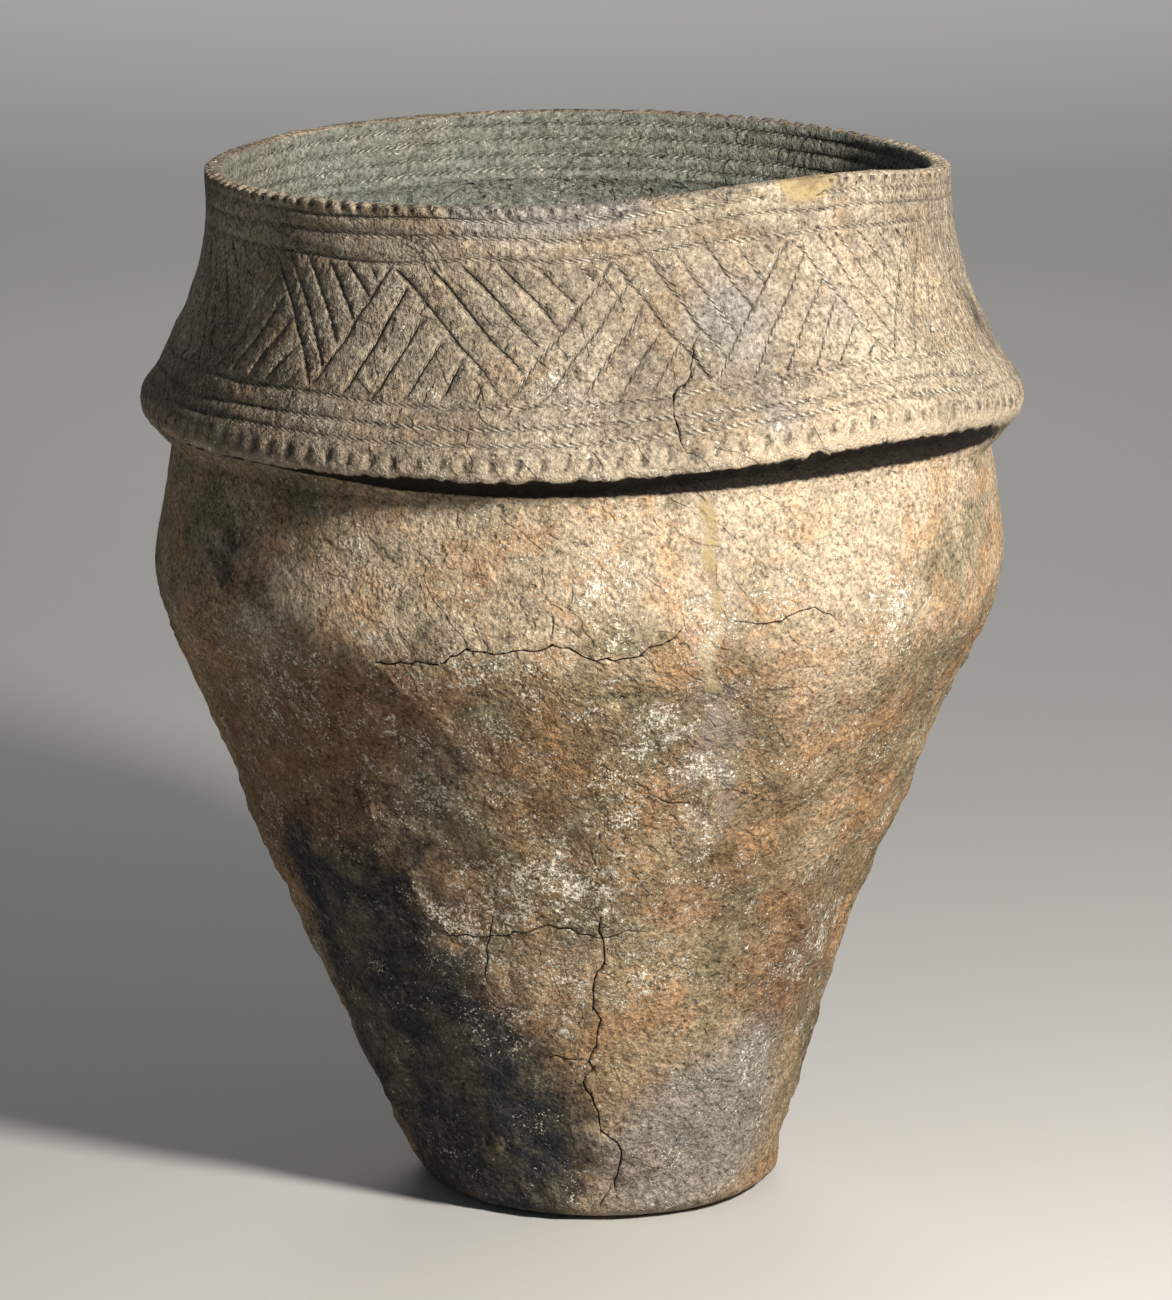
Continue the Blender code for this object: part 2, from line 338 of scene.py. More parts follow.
def outer_levels():
    neck_turn = NECK_HEIGHT - 0.003
    levels = [0.0] + spread(0.0, HEEL_HEIGHT, 0.0018) + [HEEL_HEIGHT]
    levels += spread(HEEL_HEIGHT, neck_turn, FLANK_ROW) + [neck_turn]
    levels += spread(neck_turn, EDGE_OVER[1], EDGE_ROW) + [EDGE_OVER[1]]
    levels += banded_levels(EDGE_OVER[1], RIM_HEIGHT - LIP_RISE, LOWER_CORDS + UPPER_CORDS, HATCH_ROW)
    return levels + [RIM_HEIGHT - LIP_RISE]


def inner_levels():
    top = RIM_HEIGHT - INNER_LIP_RISE
    ledge = RIM_HEIGHT - LEDGE_DROP
    levels = [FLOOR] + spread(FLOOR, FLOOR + FLOOR_FILLET, 0.005)
    levels += spread(FLOOR + FLOOR_FILLET, ledge - LEDGE_SLOPE, INNER_ROW)
    levels += [ledge - LEDGE_SLOPE, ledge - 0.0015, ledge, ledge + 0.001]
    cords = sorted(INNER_CORDS)
    return levels + banded_levels(ledge + 0.001, top, cords, 0.004) + [top]


LIP_ROWS = ((0.03, 0.35), (0.12, 0.68), (0.28, 0.92), (0.5, 1.0), (0.72, 0.96), (0.9, 0.78), (0.98, 0.45))


def whole_template():
    """(radius, level, side) from the foot's centre to the floor's centre; side is 1 outside."""
    chain = [(0.0, 0.0, 1.0), (0.018, 0.0, 1.0), (0.036, 0.0, 1.0)]
    chain += [(radius_at(OUTSIDE, z), z, 1.0) for z in outer_levels()]
    low = RIM_HEIGHT - LIP_RISE
    chain += [(COLLAR_TOP_RADIUS - LIP_WIDTH * a, low + LIP_RISE * b, 1.0) for a, b in LIP_ROWS]
    chain += [(radius_at(INSIDE, z), z, -1.0) for z in reversed(inner_levels())]
    return chain + [(0.030, FLOOR, -1.0), (0.015, FLOOR, -1.0), (0.0, FLOOR, -1.0)]


template = whole_template()
print("template points:", len(template))

# %% [markdown]
# Turning the pot
#
# Spin sweeps the template once round the axis. A true pot comes out, closed at the lip and at both
# middles. The outside needs a finer mesh than the inside, so its rings are divided again afterwards,
# and the new points are pushed out from the chords to the circle. Numbers kept on the points remember
# where each one belongs: its level, its radius and its side. Later steps add how far it is pressed in.

# %% Spin the template
TURN_STEPS = 168
OUTER_CUTS = 1
EDGE_CUTS = 3
EDGE_ZONE = (0.3050, 0.3190)
WELD = 0.000002
KEPT = ("level", "radius", "side", "press", "cord", "cord_along", "cord_across", "crack", "dirt")


class Wall:
    """A mesh that keeps numbers on its points and files its outer faces by place."""

    def __init__(self, mesh):
        self.mesh = mesh
        self.bins = {}
        self.find_layers()

    def find_layers(self):
        numbers = self.mesh.verts.layers.float
        for name in KEPT:
            setattr(self, name, numbers.get(name) or numbers.new(name))


def draw_template(wall, points):
    last = None
    for radius, level, side in points:
        vert = wall.mesh.verts.new((0.0, -radius, level))
        vert[wall.level], vert[wall.radius], vert[wall.side] = level, radius, side
        if last is not None:
            wall.mesh.edges.new((last, vert))
        last = vert


def level_edges(wall, low, high, side):
    """Edges that run round the pot between two levels on one side."""
    found = []
    for edge in wall.mesh.edges:
        a, b = edge.verts
        same = abs(a[wall.level] - b[wall.level]) < WELD and abs(a[wall.radius] - b[wall.radius]) < WELD
        if same and a[wall.radius] > FOOT_FLAT_RADIUS * 1.1 and a[wall.side] * side > 0:
            if low <= a[wall.level] < high:
                found.append(edge)
    return found


pot = Wall(bmesh.new())
draw_template(pot, template)
bmesh.ops.spin(
    pot.mesh,
    geom=pot.mesh.verts[:] + pot.mesh.edges[:],
    cent=(0.0, 0.0, 0.0),
    axis=(0.0, 0.0, 1.0),
    angle=2 * pi,
    steps=TURN_STEPS,
    use_merge=True,
)
bmesh.ops.remove_doubles(pot.mesh, verts=pot.mesh.verts, dist=WELD)
rings = level_edges(pot, HEEL_HEIGHT * 0.5, EDGE_ZONE[0], 1)
rings += level_edges(pot, EDGE_ZONE[1], RIM_HEIGHT * 1.1, 1)
bmesh.ops.subdivide_edges(pot.mesh, edges=rings, cuts=OUTER_CUTS, use_grid_fill=True)
bmesh.ops.subdivide_edges(pot.mesh, edges=level_edges(pot, *EDGE_ZONE, 1), cuts=EDGE_CUTS, use_grid_fill=True)
for vert in pot.mesh.verts:
    span = hypot(vert.co.x, vert.co.y)
    if span > WELD:
        radius = vert[pot.radius]
        if vert[pot.side] > 0:
            radius -= undercut(azimuth_of(vert.co.x, vert.co.y), vert[pot.level])
        vert.co.x *= radius / span
        vert.co.y *= radius / span
bmesh.ops.recalc_face_normals(pot.mesh, faces=pot.mesh.faces)
print("turned pot:", len(pot.mesh.verts), "points,", len(pot.mesh.faces), "faces")

# %% [markdown]
# Taking a part out to work on it
#
# A slanting groove 2 mm wide would look ragged on a mesh whose points fall beside it. So each stroke
# is scored first: flat knives cut the faces near it along its edges, its middle and halfway between.
# The knives stand upright on the wall, like a real modelling tool, and bisect_plane does the cutting.
# That operator goes over the whole mesh each time, so the part in work is taken out into a small mesh
# of its own and welded back afterwards. The part is always wider than the cuts, so its rim matches.

# %% Make the scoring tool
BIN_DEGREES = 4.0
BIN_HEIGHT = 0.008
BIN_COLUMNS = round(360.0 / BIN_DEGREES)


def bin_of(point):
    column = int((azimuth_of(point.x, point.y) + 180.0) // BIN_DEGREES) % BIN_COLUMNS
    return column, int(point.z // BIN_HEIGHT)


def file_face(wall, face):
    if face.verts[0][wall.side] > 0:
        wall.bins.setdefault(bin_of(face.calc_center_median()), set()).add(face)


def pour(mesh, into):
    """Moves a mesh into another one, with the numbers on its points."""
    carrier = bpy.data.meshes.new("carrier")
    mesh.to_mesh(carrier)
    mesh.free()
    into.from_mesh(carrier)
    bpy.data.meshes.remove(carrier)
    return into


def take_out(wanted):
    """Moves the faces of the pot that pass a test into a wall of their own."""
    chosen = [wanted(pot, face) for face in pot.mesh.faces]
    double = pot.mesh.copy()
    rest = [face for face, asked in zip(double.faces, chosen) if not asked]
    bmesh.ops.delete(double, geom=rest, context="FACES")
    taken = [face for face, asked in zip(pot.mesh.faces, chosen) if asked]
    bmesh.ops.delete(pot.mesh, geom=taken, context="FACES")
    part = Wall(pour(double, bmesh.new()))
    for face in part.mesh.faces:
        file_face(part, face)
    return part


def put_back(part):
    pour(part.mesh, pot.mesh)
    pot.find_layers()
    rim = [vert for vert in pot.mesh.verts if vert.is_boundary]
    bmesh.ops.remove_doubles(pot.mesh, verts=rim, dist=WELD)


def faces_near(wall, start, end, reach):
    """Outer faces close to the straight line from start to end."""
    length = (end - start).length
    along = (end - start) / length
    steps = max(ceil(length / BIN_HEIGHT), 1)
    keys = set()
    for k in range(steps + 1):
        column, row = bin_of(start.lerp(end, k / steps))
        keys.update(((column + a) % BIN_COLUMNS, row + b) for a in (-1, 0, 1) for b in (-1, 0, 1))
    near = set()
    for key in keys:
        for face in wall.bins.get(key, ()):
            away = face.calc_center_median() - start
            part = away.dot(along)
            if -reach < part < length + reach and (away - along * part).length < reach:
                near.add(face)
    return near


def score(wall, near, place, across, offsets):
    """Cuts the faces along flat knives beside a line; returns them with the new ones."""
    for offset in offsets:
        geom = set(near)
        for face in near:
            geom.update(face.verts)
            geom.update(face.edges)
        knife = place + across * offset
        cut = bmesh.ops.bisect_plane(wall.mesh, geom=list(geom), dist=WELD, plane_co=knife, plane_no=across)
        made = {part for part in cut["geom"] if isinstance(part, bmesh.types.BMFace)}
        for face in made - near:
            file_face(wall, face)
        near |= made
    return near


def wall_directions(start, end):
    """Along a line on the wall, and across it on the wall."""
    along = (end - start).normalized()
    middle = (start + end) / 2
    out = Vector((middle.x, middle.y, 0.0)).normalized()
    out = (out - along * out.dot(along)).normalized()
    return along, along.cross(out)


def points_of(faces):
    return {vert for face in faces for vert in face.verts}


print("bins round the pot:", BIN_COLUMNS)

# %% [markdown]
# Pressing cords
#
# A twisted cord leaves a round-bottomed groove with slanting dashes in it. The groove itself is
# geometry. How far each point lies along and across its cord is kept on the point as well, because
# the finish uses those two numbers later to draw the strands of the twist. The two sides of the
# collar are rubbed nearly smooth, and where the lip was mended plaster hides the cords.

# %% Press one stroke
WORN_PLACES = ((-72.0, 27.0, 0.88), (78.0, 22.0, 0.90))
FILL_START = 27.2
FILL_END = 39.6
FILL_DEPTH = 0.0105


def left_by_wear(azimuth):
    """The share of a stroke's depth that rubbing has left at an azimuth."""
    share = 1.0
    for centre, width, loss in WORN_PLACES:
        share -= loss * exp(-(((azimuth - centre) / width) ** 2))
    return share


def in_fill(azimuth, level):
    """Whether the mender's plaster covers a place: a shape like a half moon hanging from the lip."""
    middle = (FILL_START + FILL_END) / 2
    aside = (azimuth - middle) / (FILL_END - middle)
    return 1.0 - aside ** 2 - ((RIM_HEIGHT - level) / FILL_DEPTH) ** 2


def press_point(wall, vert, depth, along, across, half_width):
    """Pushes a point in as a round cord would, if nothing deeper is there yet."""
    share = abs(across) / half_width
    if share > 1.05:
        return
    fill = max(cos(0.5 * pi * min(share, 1.0)), 0.0)
    if fill * depth >= vert[wall.press]:
        vert[wall.press] = fill * depth
        vert[wall.cord_along] = along
        vert[wall.cord_across] = across / half_width
        vert[wall.cord] = fill * min(depth / CORD_DEPTH, 1.0)


def press_stroke(wall, start, end, depth, half_width):
    """A straight cord stroke from one point on the wall to another, fading at its ends."""
    along, across = wall_directions(start, end)
    near = faces_near(wall, start, end, half_width + 0.0030)
    near = score(wall, near, start, across, [share * half_width for share in GROOVE_ROWS])
    length = (end - start).length
    for vert in points_of(near):
        away = vert.co - start
        part = away.dot(along)
        if -0.0003 < part < length + 0.0003:
            fade = min(1.0, (min(part, length - part) + 0.0006) / 0.0022)
            aside = away.dot(across)
            press_point(wall, vert, depth * max(fade, 0.0), part, aside, half_width)
            # The middle of each stroke's groove gets painted shade.
            groove_shade = (1.0 - 2.0 * abs(aside) / half_width) * fade * min(depth / CORD_DEPTH, 1.0)
            vert[wall.dirt] = max(vert[wall.dirt], groove_shade)


def press_rings(wall, levels, side, depth):
    """Cords laid right round the pot on rows that are already there."""
    for vert in wall.mesh.verts:
        if vert[wall.side] * side > 0 and vert[wall.radius] > HEEL_RADIUS:
            azimuth = azimuth_of(vert.co.x, vert.co.y)
            kept = depth * (0.4 + 0.6 * left_by_wear(azimuth))
            for cord in levels:
                near = abs(vert[wall.level] - cord) <= CORD_HALF_WIDTH * 1.01
                if near and in_fill(azimuth, vert[wall.level]) < 0.0:
                    along = radians(azimuth) * vert[wall.radius]
                    press_point(wall, vert, kept, along, vert[wall.level] - cord, CORD_HALF_WIDTH)


press_rings(pot, LOWER_CORDS + UPPER_CORDS, 1, CORD_DEPTH)
press_rings(pot, INNER_CORDS, -1, CORD_DEPTH * 0.8)
print("points in cord rings:", sum(1 for vert in pot.mesh.verts if vert[pot.cord] > 0))

# %% [markdown]
# The hatched triangles
#
# Between the two sets of rings, upright triangles filled with strokes that lean one way take turns
# with hanging triangles whose strokes lean the other way. Fourteen pairs go round. The potter judged
# them by eye, so those on the front have their own widths and apexes. Real strokes miss their mark
# a little as well, so each gets a small seeded slip.

# %% Press the hatching
HATCH_UNITS = 14
HATCH_STROKES = 6
HATCH_GAP = 0.0012
HATCH_HALF_WIDTH = 0.00082
FIRST_UNIT = -65.0
FIRST_WIDTHS = (26.0, 29.3, 27.8, 28.4)
FIRST_APEXES = (0.50, 0.36, 0.525, 0.51)
SLIP = 0.0008


def hatch_units():
    """(start, apex, end, next apex) of every upright triangle, in degrees."""
    rest = HATCH_UNITS - len(FIRST_WIDTHS)
    widths = list(FIRST_WIDTHS) + [(360.0 - sum(FIRST_WIDTHS)) / rest] * rest
    shares = list(FIRST_APEXES) + [0.5] * rest
    start = FIRST_UNIT
    for k, width in enumerate(widths):
        after = (k + 1) % len(widths)
        yield start, start + shares[k] * width, start + width, start + width + shares[after] * widths[after]
        start += width


def hatch_strokes(low, high):
    """Ends (azimuth, level) of every stroke, rising and falling."""
    for start, apex, end, next_apex in hatch_units():
        for n in range(HATCH_STROKES):
            part = n / HATCH_STROKES
            rise = (high - low) * part
            yield (start + (end - start) * part, low), (apex + (end - apex) * part, high - rise)
            yield (apex + (next_apex - apex) * part, high), (end + (next_apex - end) * part, low + rise)


def wall_point(azimuth, level):
    return polar(azimuth, radius_at(OUTSIDE, level), level)


def in_hatched_band(wall, face):
    level = sum(vert[wall.level] for vert in face.verts) / len(face.verts)
    outer = min(vert[wall.side] for vert in face.verts) > 0
    return outer and LOWER_CORDS[1] + CORD_HALF_WIDTH < level < UPPER_CORDS[1] - CORD_HALF_WIDTH


rng = np.random.default_rng(14)
band = take_out(in_hatched_band)
stroke_count = 0
for start, end in hatch_strokes(LOWER_CORDS[-1], UPPER_CORDS[0]):
    run = hypot(radians(end[0] - start[0]) * COLLAR_TOP_RADIUS, end[1] - start[1])
    cut = (HATCH_GAP + HATCH_HALF_WIDTH * 0.6) / run
    ends = []
    for azimuth, level in (between(start, end, cut), between(start, end, 1.0 - cut)):
        slip_az, slip_level = rng.normal(0.0, SLIP, 2)
        level = min(max(level + slip_level, LOWER_CORDS[-1] + 0.002), UPPER_CORDS[0] - 0.002)
        ends.append(wall_point(azimuth + slip_az / 0.0026, level))
    depth = CORD_DEPTH * rng.uniform(0.8, 1.2) * left_by_wear((start[0] + end[0]) / 2)
    press_stroke(band, ends[0], ends[1], depth, HATCH_HALF_WIDTH)
    stroke_count += 1
put_back(band)
print("strokes:", stroke_count, "faces now:", len(pot.mesh.faces))

# %% [markdown]
# Nicks in the lip and dents in the edge
#
# The same cord was laid slantwise over the lip again and again, which makes it look like a rope, and
# a finger or a stick dented the edge of the collar at the same spacing. The broken part of the lip
# carries plaster and no nicks.

# %% Press nicks and dents
LIP_NICKS = 120
NICK_DEPTH = 0.0013
NICK_TWIST = 0.3
NICK_HALF_WIDTH = 0.0015
NICK_SLANT = 3.0
NICK_FALL = 0.0034
EDGE_DENTS = 116
DENT_DEPTH = 0.0014
DENT_HALF_WIDTH = 0.0029
DENT_HALF_HEIGHT = 0.0036
DENT_LEVEL = 0.3134
DENT_SLANT = 0.20


def at_lip(wall, face):
    return all(vert[wall.level] > UPPER_CORDS[1] + CORD_HALF_WIDTH * 0.9 for vert in face.verts)


def press_nicks(wall):
    step = 360.0 / LIP_NICKS
    for k in range(LIP_NICKS):
        azimuth = -180.0 + step * (k + 0.25) + rng.normal(0.0, 0.25)
        if FILL_START < azimuth < FILL_END:
            continue
        inner = polar(azimuth - NICK_SLANT * 0.3, COLLAR_TOP_RADIUS - LIP_WIDTH * 0.8, RIM_HEIGHT)
        outer = polar(azimuth + NICK_SLANT * 0.5, COLLAR_TOP_RADIUS + 0.0012, RIM_HEIGHT - NICK_FALL)
        slash = (outer - inner).normalized()
        across = slash.cross(Vector((0.0, 0.0, 1.0))).normalized()
        lip = faces_near(wall, inner, outer, 0.0062)
        lip = {face for face in lip if face.verts[0][wall.level] > RIM_HEIGHT - 0.005}
        lip = score(wall, lip, inner, across, [share * NICK_HALF_WIDTH for share in (-1.0, -0.4, 0.4, 1.0)])
        for vert in points_of(lip):
            away = vert.co - inner
            part = away.dot(slash)
            low = (vert[wall.level] - RIM_HEIGHT + NICK_FALL + 0.001) / 0.002
            fade = min(1.0, (part + 0.001) / 0.003, low)
            press_point(wall, vert, NICK_DEPTH * max(fade, 0.0), part, away.dot(across), NICK_HALF_WIDTH)
            vert[wall.cord] = min(vert[wall.cord], NICK_TWIST)


def press_dents(wall):
    """Hollows with a gentle left side and a steep right one, as a fingertip leaves them.

    The steep side gets painted shade and the gentle one a painted highlight, which is kept below zero.
    """
    step = 360.0 / EDGE_DENTS
    for vert in wall.mesh.verts:
        if vert[wall.side] < 0 or abs(vert[wall.level] - DENT_LEVEL) > DENT_HALF_HEIGHT:
            continue
        turn = (azimuth_of(vert.co.x, vert.co.y) + 180.0) / step - 0.25
        k = round(turn)
        slip = noise.noise(Vector((k * 7.3, 0.0, 0.0)))
        tall = (vert[wall.level] - DENT_LEVEL) / DENT_HALF_HEIGHT
        aside = radians((turn - k - 0.16 * slip) * step) * vert[wall.radius] / DENT_HALF_WIDTH
        wide = aside - DENT_SLANT * tall
        inside = 1.0 - wide * wide - tall * tall
        if inside > 0.0:
            steep = min((1.0 - wide) / 0.5, 1.0) * (0.6 + 0.4 * wide)
            dent = DENT_DEPTH * (1.0 + 0.5 * slip) * min(inside * 2.0, 1.0) * steep
            vert[wall.press] = max(vert[wall.press], dent)
            # Painted shade on the steep side, painted highlight below zero on the gentle one.
            vert[wall.dirt] = min(max((wide - 0.05) / 0.4, -0.8), 1.0) * min(inside * 3.0, 1.0)


lip = take_out(at_lip)
press_nicks(lip)
put_back(lip)
press_dents(pot)
print("faces after the nicks:", len(pot.mesh.faces))

# %% [markdown]
# Cracks, drawn from the photograph
#
# Cracks are placed one by one: each is a list of places in the picture, in its own pixels. A ray from
# the camera through such a place meets the solid urn, and undoing the lean and the waves there gives
# the azimuth and level on the true pot. Each straight run between two places is broken up a little,
# since a crack in coarse clay walks round the grit.

# %% Cast picture places on the pot
CRACKS = {
    "collar": ((700, 328), (694, 348), (692, 374), (674, 392), (676, 422), (687, 452), (686, 468)),
    "collar_short": ((640, 422), (634, 441)),
    "shoulder": (
        (370, 665), (400, 663), (434, 665), (450, 657), (466, 649), (494, 654), (520, 650), (545, 649),
        (552, 645), (577, 653), (590, 660), (614, 662), (639, 657), (649, 648), (671, 640), (681, 630),
        (689, 621),
    ),
    "shoulder_up": ((552, 645), (553, 619), (549, 600)),
    "shoulder_right": ((730, 619), (757, 624), (780, 622), (799, 611), (815, 607), (824, 613), (843, 622)),
    "body": (
        (596, 911), (601, 918), (599, 931), (603, 941), (605, 964), (598, 974), (593, 992), (593, 1008),
        (601, 1020), (597, 1038), (593, 1053), (589, 1062), (592, 1074), (583, 1084), (594, 1104),
        (599, 1117), (601, 1133), (617, 1144), (622, 1153), (619, 1171), (615, 1186), (617, 1199),
    ),
    "body_fork": ((615, 1186), (605, 1200), (596, 1212)),
    "body_cross": (
        (441, 931), (449, 936), (485, 939), (523, 935), (548, 928), (579, 936), (607, 940), (628, 932),
        (648, 934),
    ),
    "body_low_cross": ((536, 1059), (556, 1056), (589, 1062)),
    "body_small": ((488, 913), (490, 931), (487, 944), (485, 977), (490, 990)),
    "body_scar": ((652, 797), (664, 803), (680, 806), (696, 807)),
}
DEEP_CRACKS = {"collar": 0.0018, "body": 0.0018, "body_fork": 0.0014, "shoulder": 0.0013, "body_scar": 0.0011}
SHALLOW_CRACK = 0.0007
CRACK_STEP = 0.0035
CRACK_WANDER = 0.16
CRACK_HALF_WIDTH = 0.00052
CRACK_MARGIN = 0.010

solid = BVHTree.FromPolygons(
    [vert.co.copy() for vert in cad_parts["urn"].data.vertices],
    [tuple(face.vertices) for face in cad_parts["urn"].data.polygons],
)


def cast(pixel):
    """Where the camera's ray through a picture place meets the solid urn, or nothing."""
    ray = Vector((pixel[0] - PICTURE[0] / 2, PICTURE[1] / 2 - pixel[1], -FOCAL_PIXELS)).normalized()
    ray.rotate(camera.rotation_euler)
    return solid.ray_cast(CAMERA_PLACE, ray)[0]


def untangle(point):
    """Azimuth and level on the true pot of a point on the uneven one."""
    level = point.z
    for _ in range(8):
        azimuth = azimuth_of(point.x - sway(level), point.y)
        level = point.z - lift(azimuth, level)
    return azimuth, level


def crack_path(pixels):
    """Points on the true pot along a crack, with a small seeded wander."""
    places = [untangle(cast(pixel)) for pixel in pixels if cast(pixel) is not None]
    points = [wall_point(*place) for place in places]
    path = [points[0]]
    for a, b in zip(points, points[1:]):
        pieces = max(round((b - a).length / CRACK_STEP), 1)
        for k in range(1, pieces + 1):
            point = a.lerp(b, k / pieces)
            if k < pieces:
                point += Vector(rng.normal(0.0, 1.0, 3)) * CRACK_WANDER * CRACK_STEP
            path.append(point)
    return path


def press_crack(wall, path, depth):
    """A narrow split: three knives, the middle one pushed in."""
    for k, (start, end) in enumerate(zip(path, path[1:])):
        along, across = wall_directions(start, end)
        near = faces_near(wall, start, end, 0.0034)
        near = score(wall, near, start, across, (-CRACK_HALF_WIDTH, 0.0, CRACK_HALF_WIDTH))
        length = (end - start).length
        fade = min(1.0, (k + 1) / 3, (len(path) - 1 - k) / 3)
        for vert in points_of(near):
            away = vert.co - start
            part = away.dot(along)
            if -0.0004 < part < length + 0.0004 and abs(away.dot(across)) < CRACK_HALF_WIDTH * 0.3:
                vert[wall.crack] = max(vert[wall.crack], fade)
                vert[wall.press] = max(vert[wall.press], depth * fade)


def around(paths, margin):
    """A test for outer faces inside the paths' own window of azimuth and level."""
    azimuths = [azimuth_of(point.x, point.y) for path in paths for point in path]
    levels = [point.z for path in paths for point in path]
    turn = degrees(margin / HEEL_RADIUS)
    left, right = min(azimuths) - turn, max(azimuths) + turn
    low, high = min(levels) - margin, max(levels) + margin

    def inside(wall, face):
        middle = face.calc_center_median()
        outer = min(vert[wall.side] for vert in face.verts) > 0
        return outer and low < middle.z < high and left < azimuth_of(middle.x, middle.y) < right

    return inside


paths = {name: crack_path(pixels) for name, pixels in CRACKS.items()}
for area in ("collar", "shoulder", "body"):
    names = [name for name in paths if name.startswith(area)]
    part = take_out(around([paths[name] for name in names], CRACK_MARGIN))
    for name in names:
        press_crack(part, paths[name], DEEP_CRACKS.get(name, SHALLOW_CRACK))
    put_back(part)
print("cracks:", len(CRACKS), "faces now:", len(pot.mesh.faces))

# %% [markdown]
# The mended break
#
# An old break from the collar down over the shoulder was filled with plaster. It needs points of its
# own along its edges and its middle, or its narrow line of colour would come and go, so the same
# knives score it. Nothing is pressed in: the mender smoothed the plaster level with the clay.

# %% Score the mended seam
SEAM = (
    (702, 484), (706, 506), (712, 522), (709, 562), (717, 600), (719, 622), (706, 654), (713, 683),
    (724, 705), (722, 740), (709, 772), (713, 820),
)
SEAM_FADES_FROM = 8
SEAM_HALF_WIDTH = 0.0026


def score_seam(wall, path):
    for start, end in zip(path, path[1:]):
        across = wall_directions(start, end)[1]
        near = faces_near(wall, start, end, 0.0050)
        score(wall, near, start, across, (-SEAM_HALF_WIDTH, 0.0, SEAM_HALF_WIDTH))


seam_path = [wall_point(*untangle(cast(pixel))) for pixel in SEAM]
part = take_out(around([seam_path], CRACK_MARGIN))
score_seam(part, seam_path)
put_back(part)
print("faces after the seam:", len(pot.mesh.faces))

# %% [markdown]
# The skin of the clay
#
# Below the shoulder the wall is lumpy: the coils were smeared together with fingers and much of the
# skin has flaked. Layered noise gives hollows a few centimetres wide, pebbly lumps on them and low
# steps where a skin came off. The foot stays flat, and the collar is only pressed in a little, so the
# pot never outgrows the solid where it is widest.

# %% Model the relief
BROAD_LUMP = 0.0013
STREAK_LUMP = 0.0014
SMALL_LUMP = 0.0011
PEBBLE_LUMP = 0.00055
LEDGE = 0.0011
ROUGH_SKIN = 0.00060
GRAIN_TWIST = 3.4
GRAIN_STRETCH = 0.90


def along_grain(place):
    """Twists a place with its height, so that noise runs down to the right all round the pot."""
    turned = Matrix.Rotation(GRAIN_TWIST * place.z, 3, "Z") @ place
    return Vector((turned.x, turned.y, turned.z * GRAIN_STRETCH))


def relief(vert):
    """How far the skin stands out at a point, in metres; below zero is in."""
    place = vert.co
    level = vert[pot.level]
    broad = noise.noise(place * 17.0)
    small = noise.noise(place * 55.0 + Vector((3.1, 0.0, 0.0)))
    if vert[pot.side] < 0:
        return 0.4 * BROAD_LUMP * broad + 0.5 * SMALL_LUMP * small
    grain = along_grain(place)
    streak = noise.noise(grain * 48.0)
    pebble = noise.noise(grain * 115.0)
    step = min(max(noise.noise(grain * 30.0 + Vector((0.0, 7.7, 0.0))) / 0.06, 0.0), 1.0)
    rough = noise.turbulence(grain * 150.0, 3, False)
    low = min(max((SHOULDER_HEIGHT + 0.004 - level) / 0.02, 0.0), 1.0)
    foot = min(level / 0.01, 1.0)
    swell = BROAD_LUMP * broad + SMALL_LUMP * small * (0.35 + 0.65 * low) + STREAK_LUMP * streak * low
    skin = ROUGH_SKIN * (rough - 0.4) * (0.4 + low) + PEBBLE_LUMP * pebble * (0.25 + 0.75 * low)
    skin -= LEDGE * step * low
    if level > NECK_HEIGHT:
        swell = 0.4 * swell - 0.0003
    return (swell + skin) * foot


pot.mesh.normal_update()
moves = [(vert, vert.normal * (relief(vert) - vert[pot.press])) for vert in pot.mesh.verts]
for vert, move in moves:
    vert.co += move
print("relief added to", len(moves), "points")

# %% [markdown]
# Letting the pot settle
#
# Last, every point goes through the rules of unevenness. The level kept on the point is used, not
# its present height, so a groove and its two lips move as one. Two small strays are added: cords laid
# by hand wander up and down, and the lower edge of the collar has crumbled away in bites.

# %% Lean and wave
RING_WANDER = 0.0022
CRUMBLE = 0.0024
CRUMBLE_REACH = 0.0030

for vert in pot.mesh.verts:
    azimuth = azimuth_of(vert.co.x, vert.co.y)
    level = vert[pot.level]
    wander = 0.0
    from_edge = abs(level - UNDERCUT_EDGE[1] - 0.0004)
    if vert[pot.side] > 0 and from_edge < CRUMBLE_REACH:
        bite = max(noise.noise(vert.co * 170.0), -0.1) + 0.5 * noise.noise(vert.co * 420.0)
        wander = CRUMBLE * bite * (1.0 - from_edge / CRUMBLE_REACH)
    if vert[pot.side] > 0 and EDGE_OVER[1] < level < RIM_HEIGHT - 0.002:
        place = Vector((cos(radians(azimuth)) * 3.6, sin(radians(azimuth)) * 3.6, level * 90.0))
        calm = min((level - EDGE_OVER[1]) / 0.004, (RIM_HEIGHT - 0.002 - level) / 0.004, 1.0)
        wander = RING_WANDER * noise.noise(place) * max(calm, 0.0)
    vert.co.x += sway(level)
    vert.co.z = max(vert.co.z + lift(azimuth, level) + wander, 0.0)
bmesh.ops.triangulate(pot.mesh, faces=[face for face in pot.mesh.faces if len(face.verts) > 4])

urn_mesh = bpy.data.meshes.new("collared_urn")
pot.mesh.to_mesh(urn_mesh)
pot.mesh.free()
urn_mesh.shade_smooth()
urn = bpy.data.objects.new("collared_urn", urn_mesh)
bpy.context.scene.collection.objects.link(urn)
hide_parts("urn")
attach(urn, "root")
triangles = sum(len(face.vertices) - 2 for face in urn_mesh.polygons)
print("dressed pot:", triangles, "triangles")

# %% [markdown]
# Where the fire and the soil left their marks
#
# The bonfire coloured the pot in clouds, not in zones with edges. Each cloud is a soft round patch,
# given by a place in the picture, a radius and a strength, and the patches of one kind add up to one
# attribute on the mesh. The back and sides, which the picture does not show, get patches of the
# same kinds by azimuth and level.

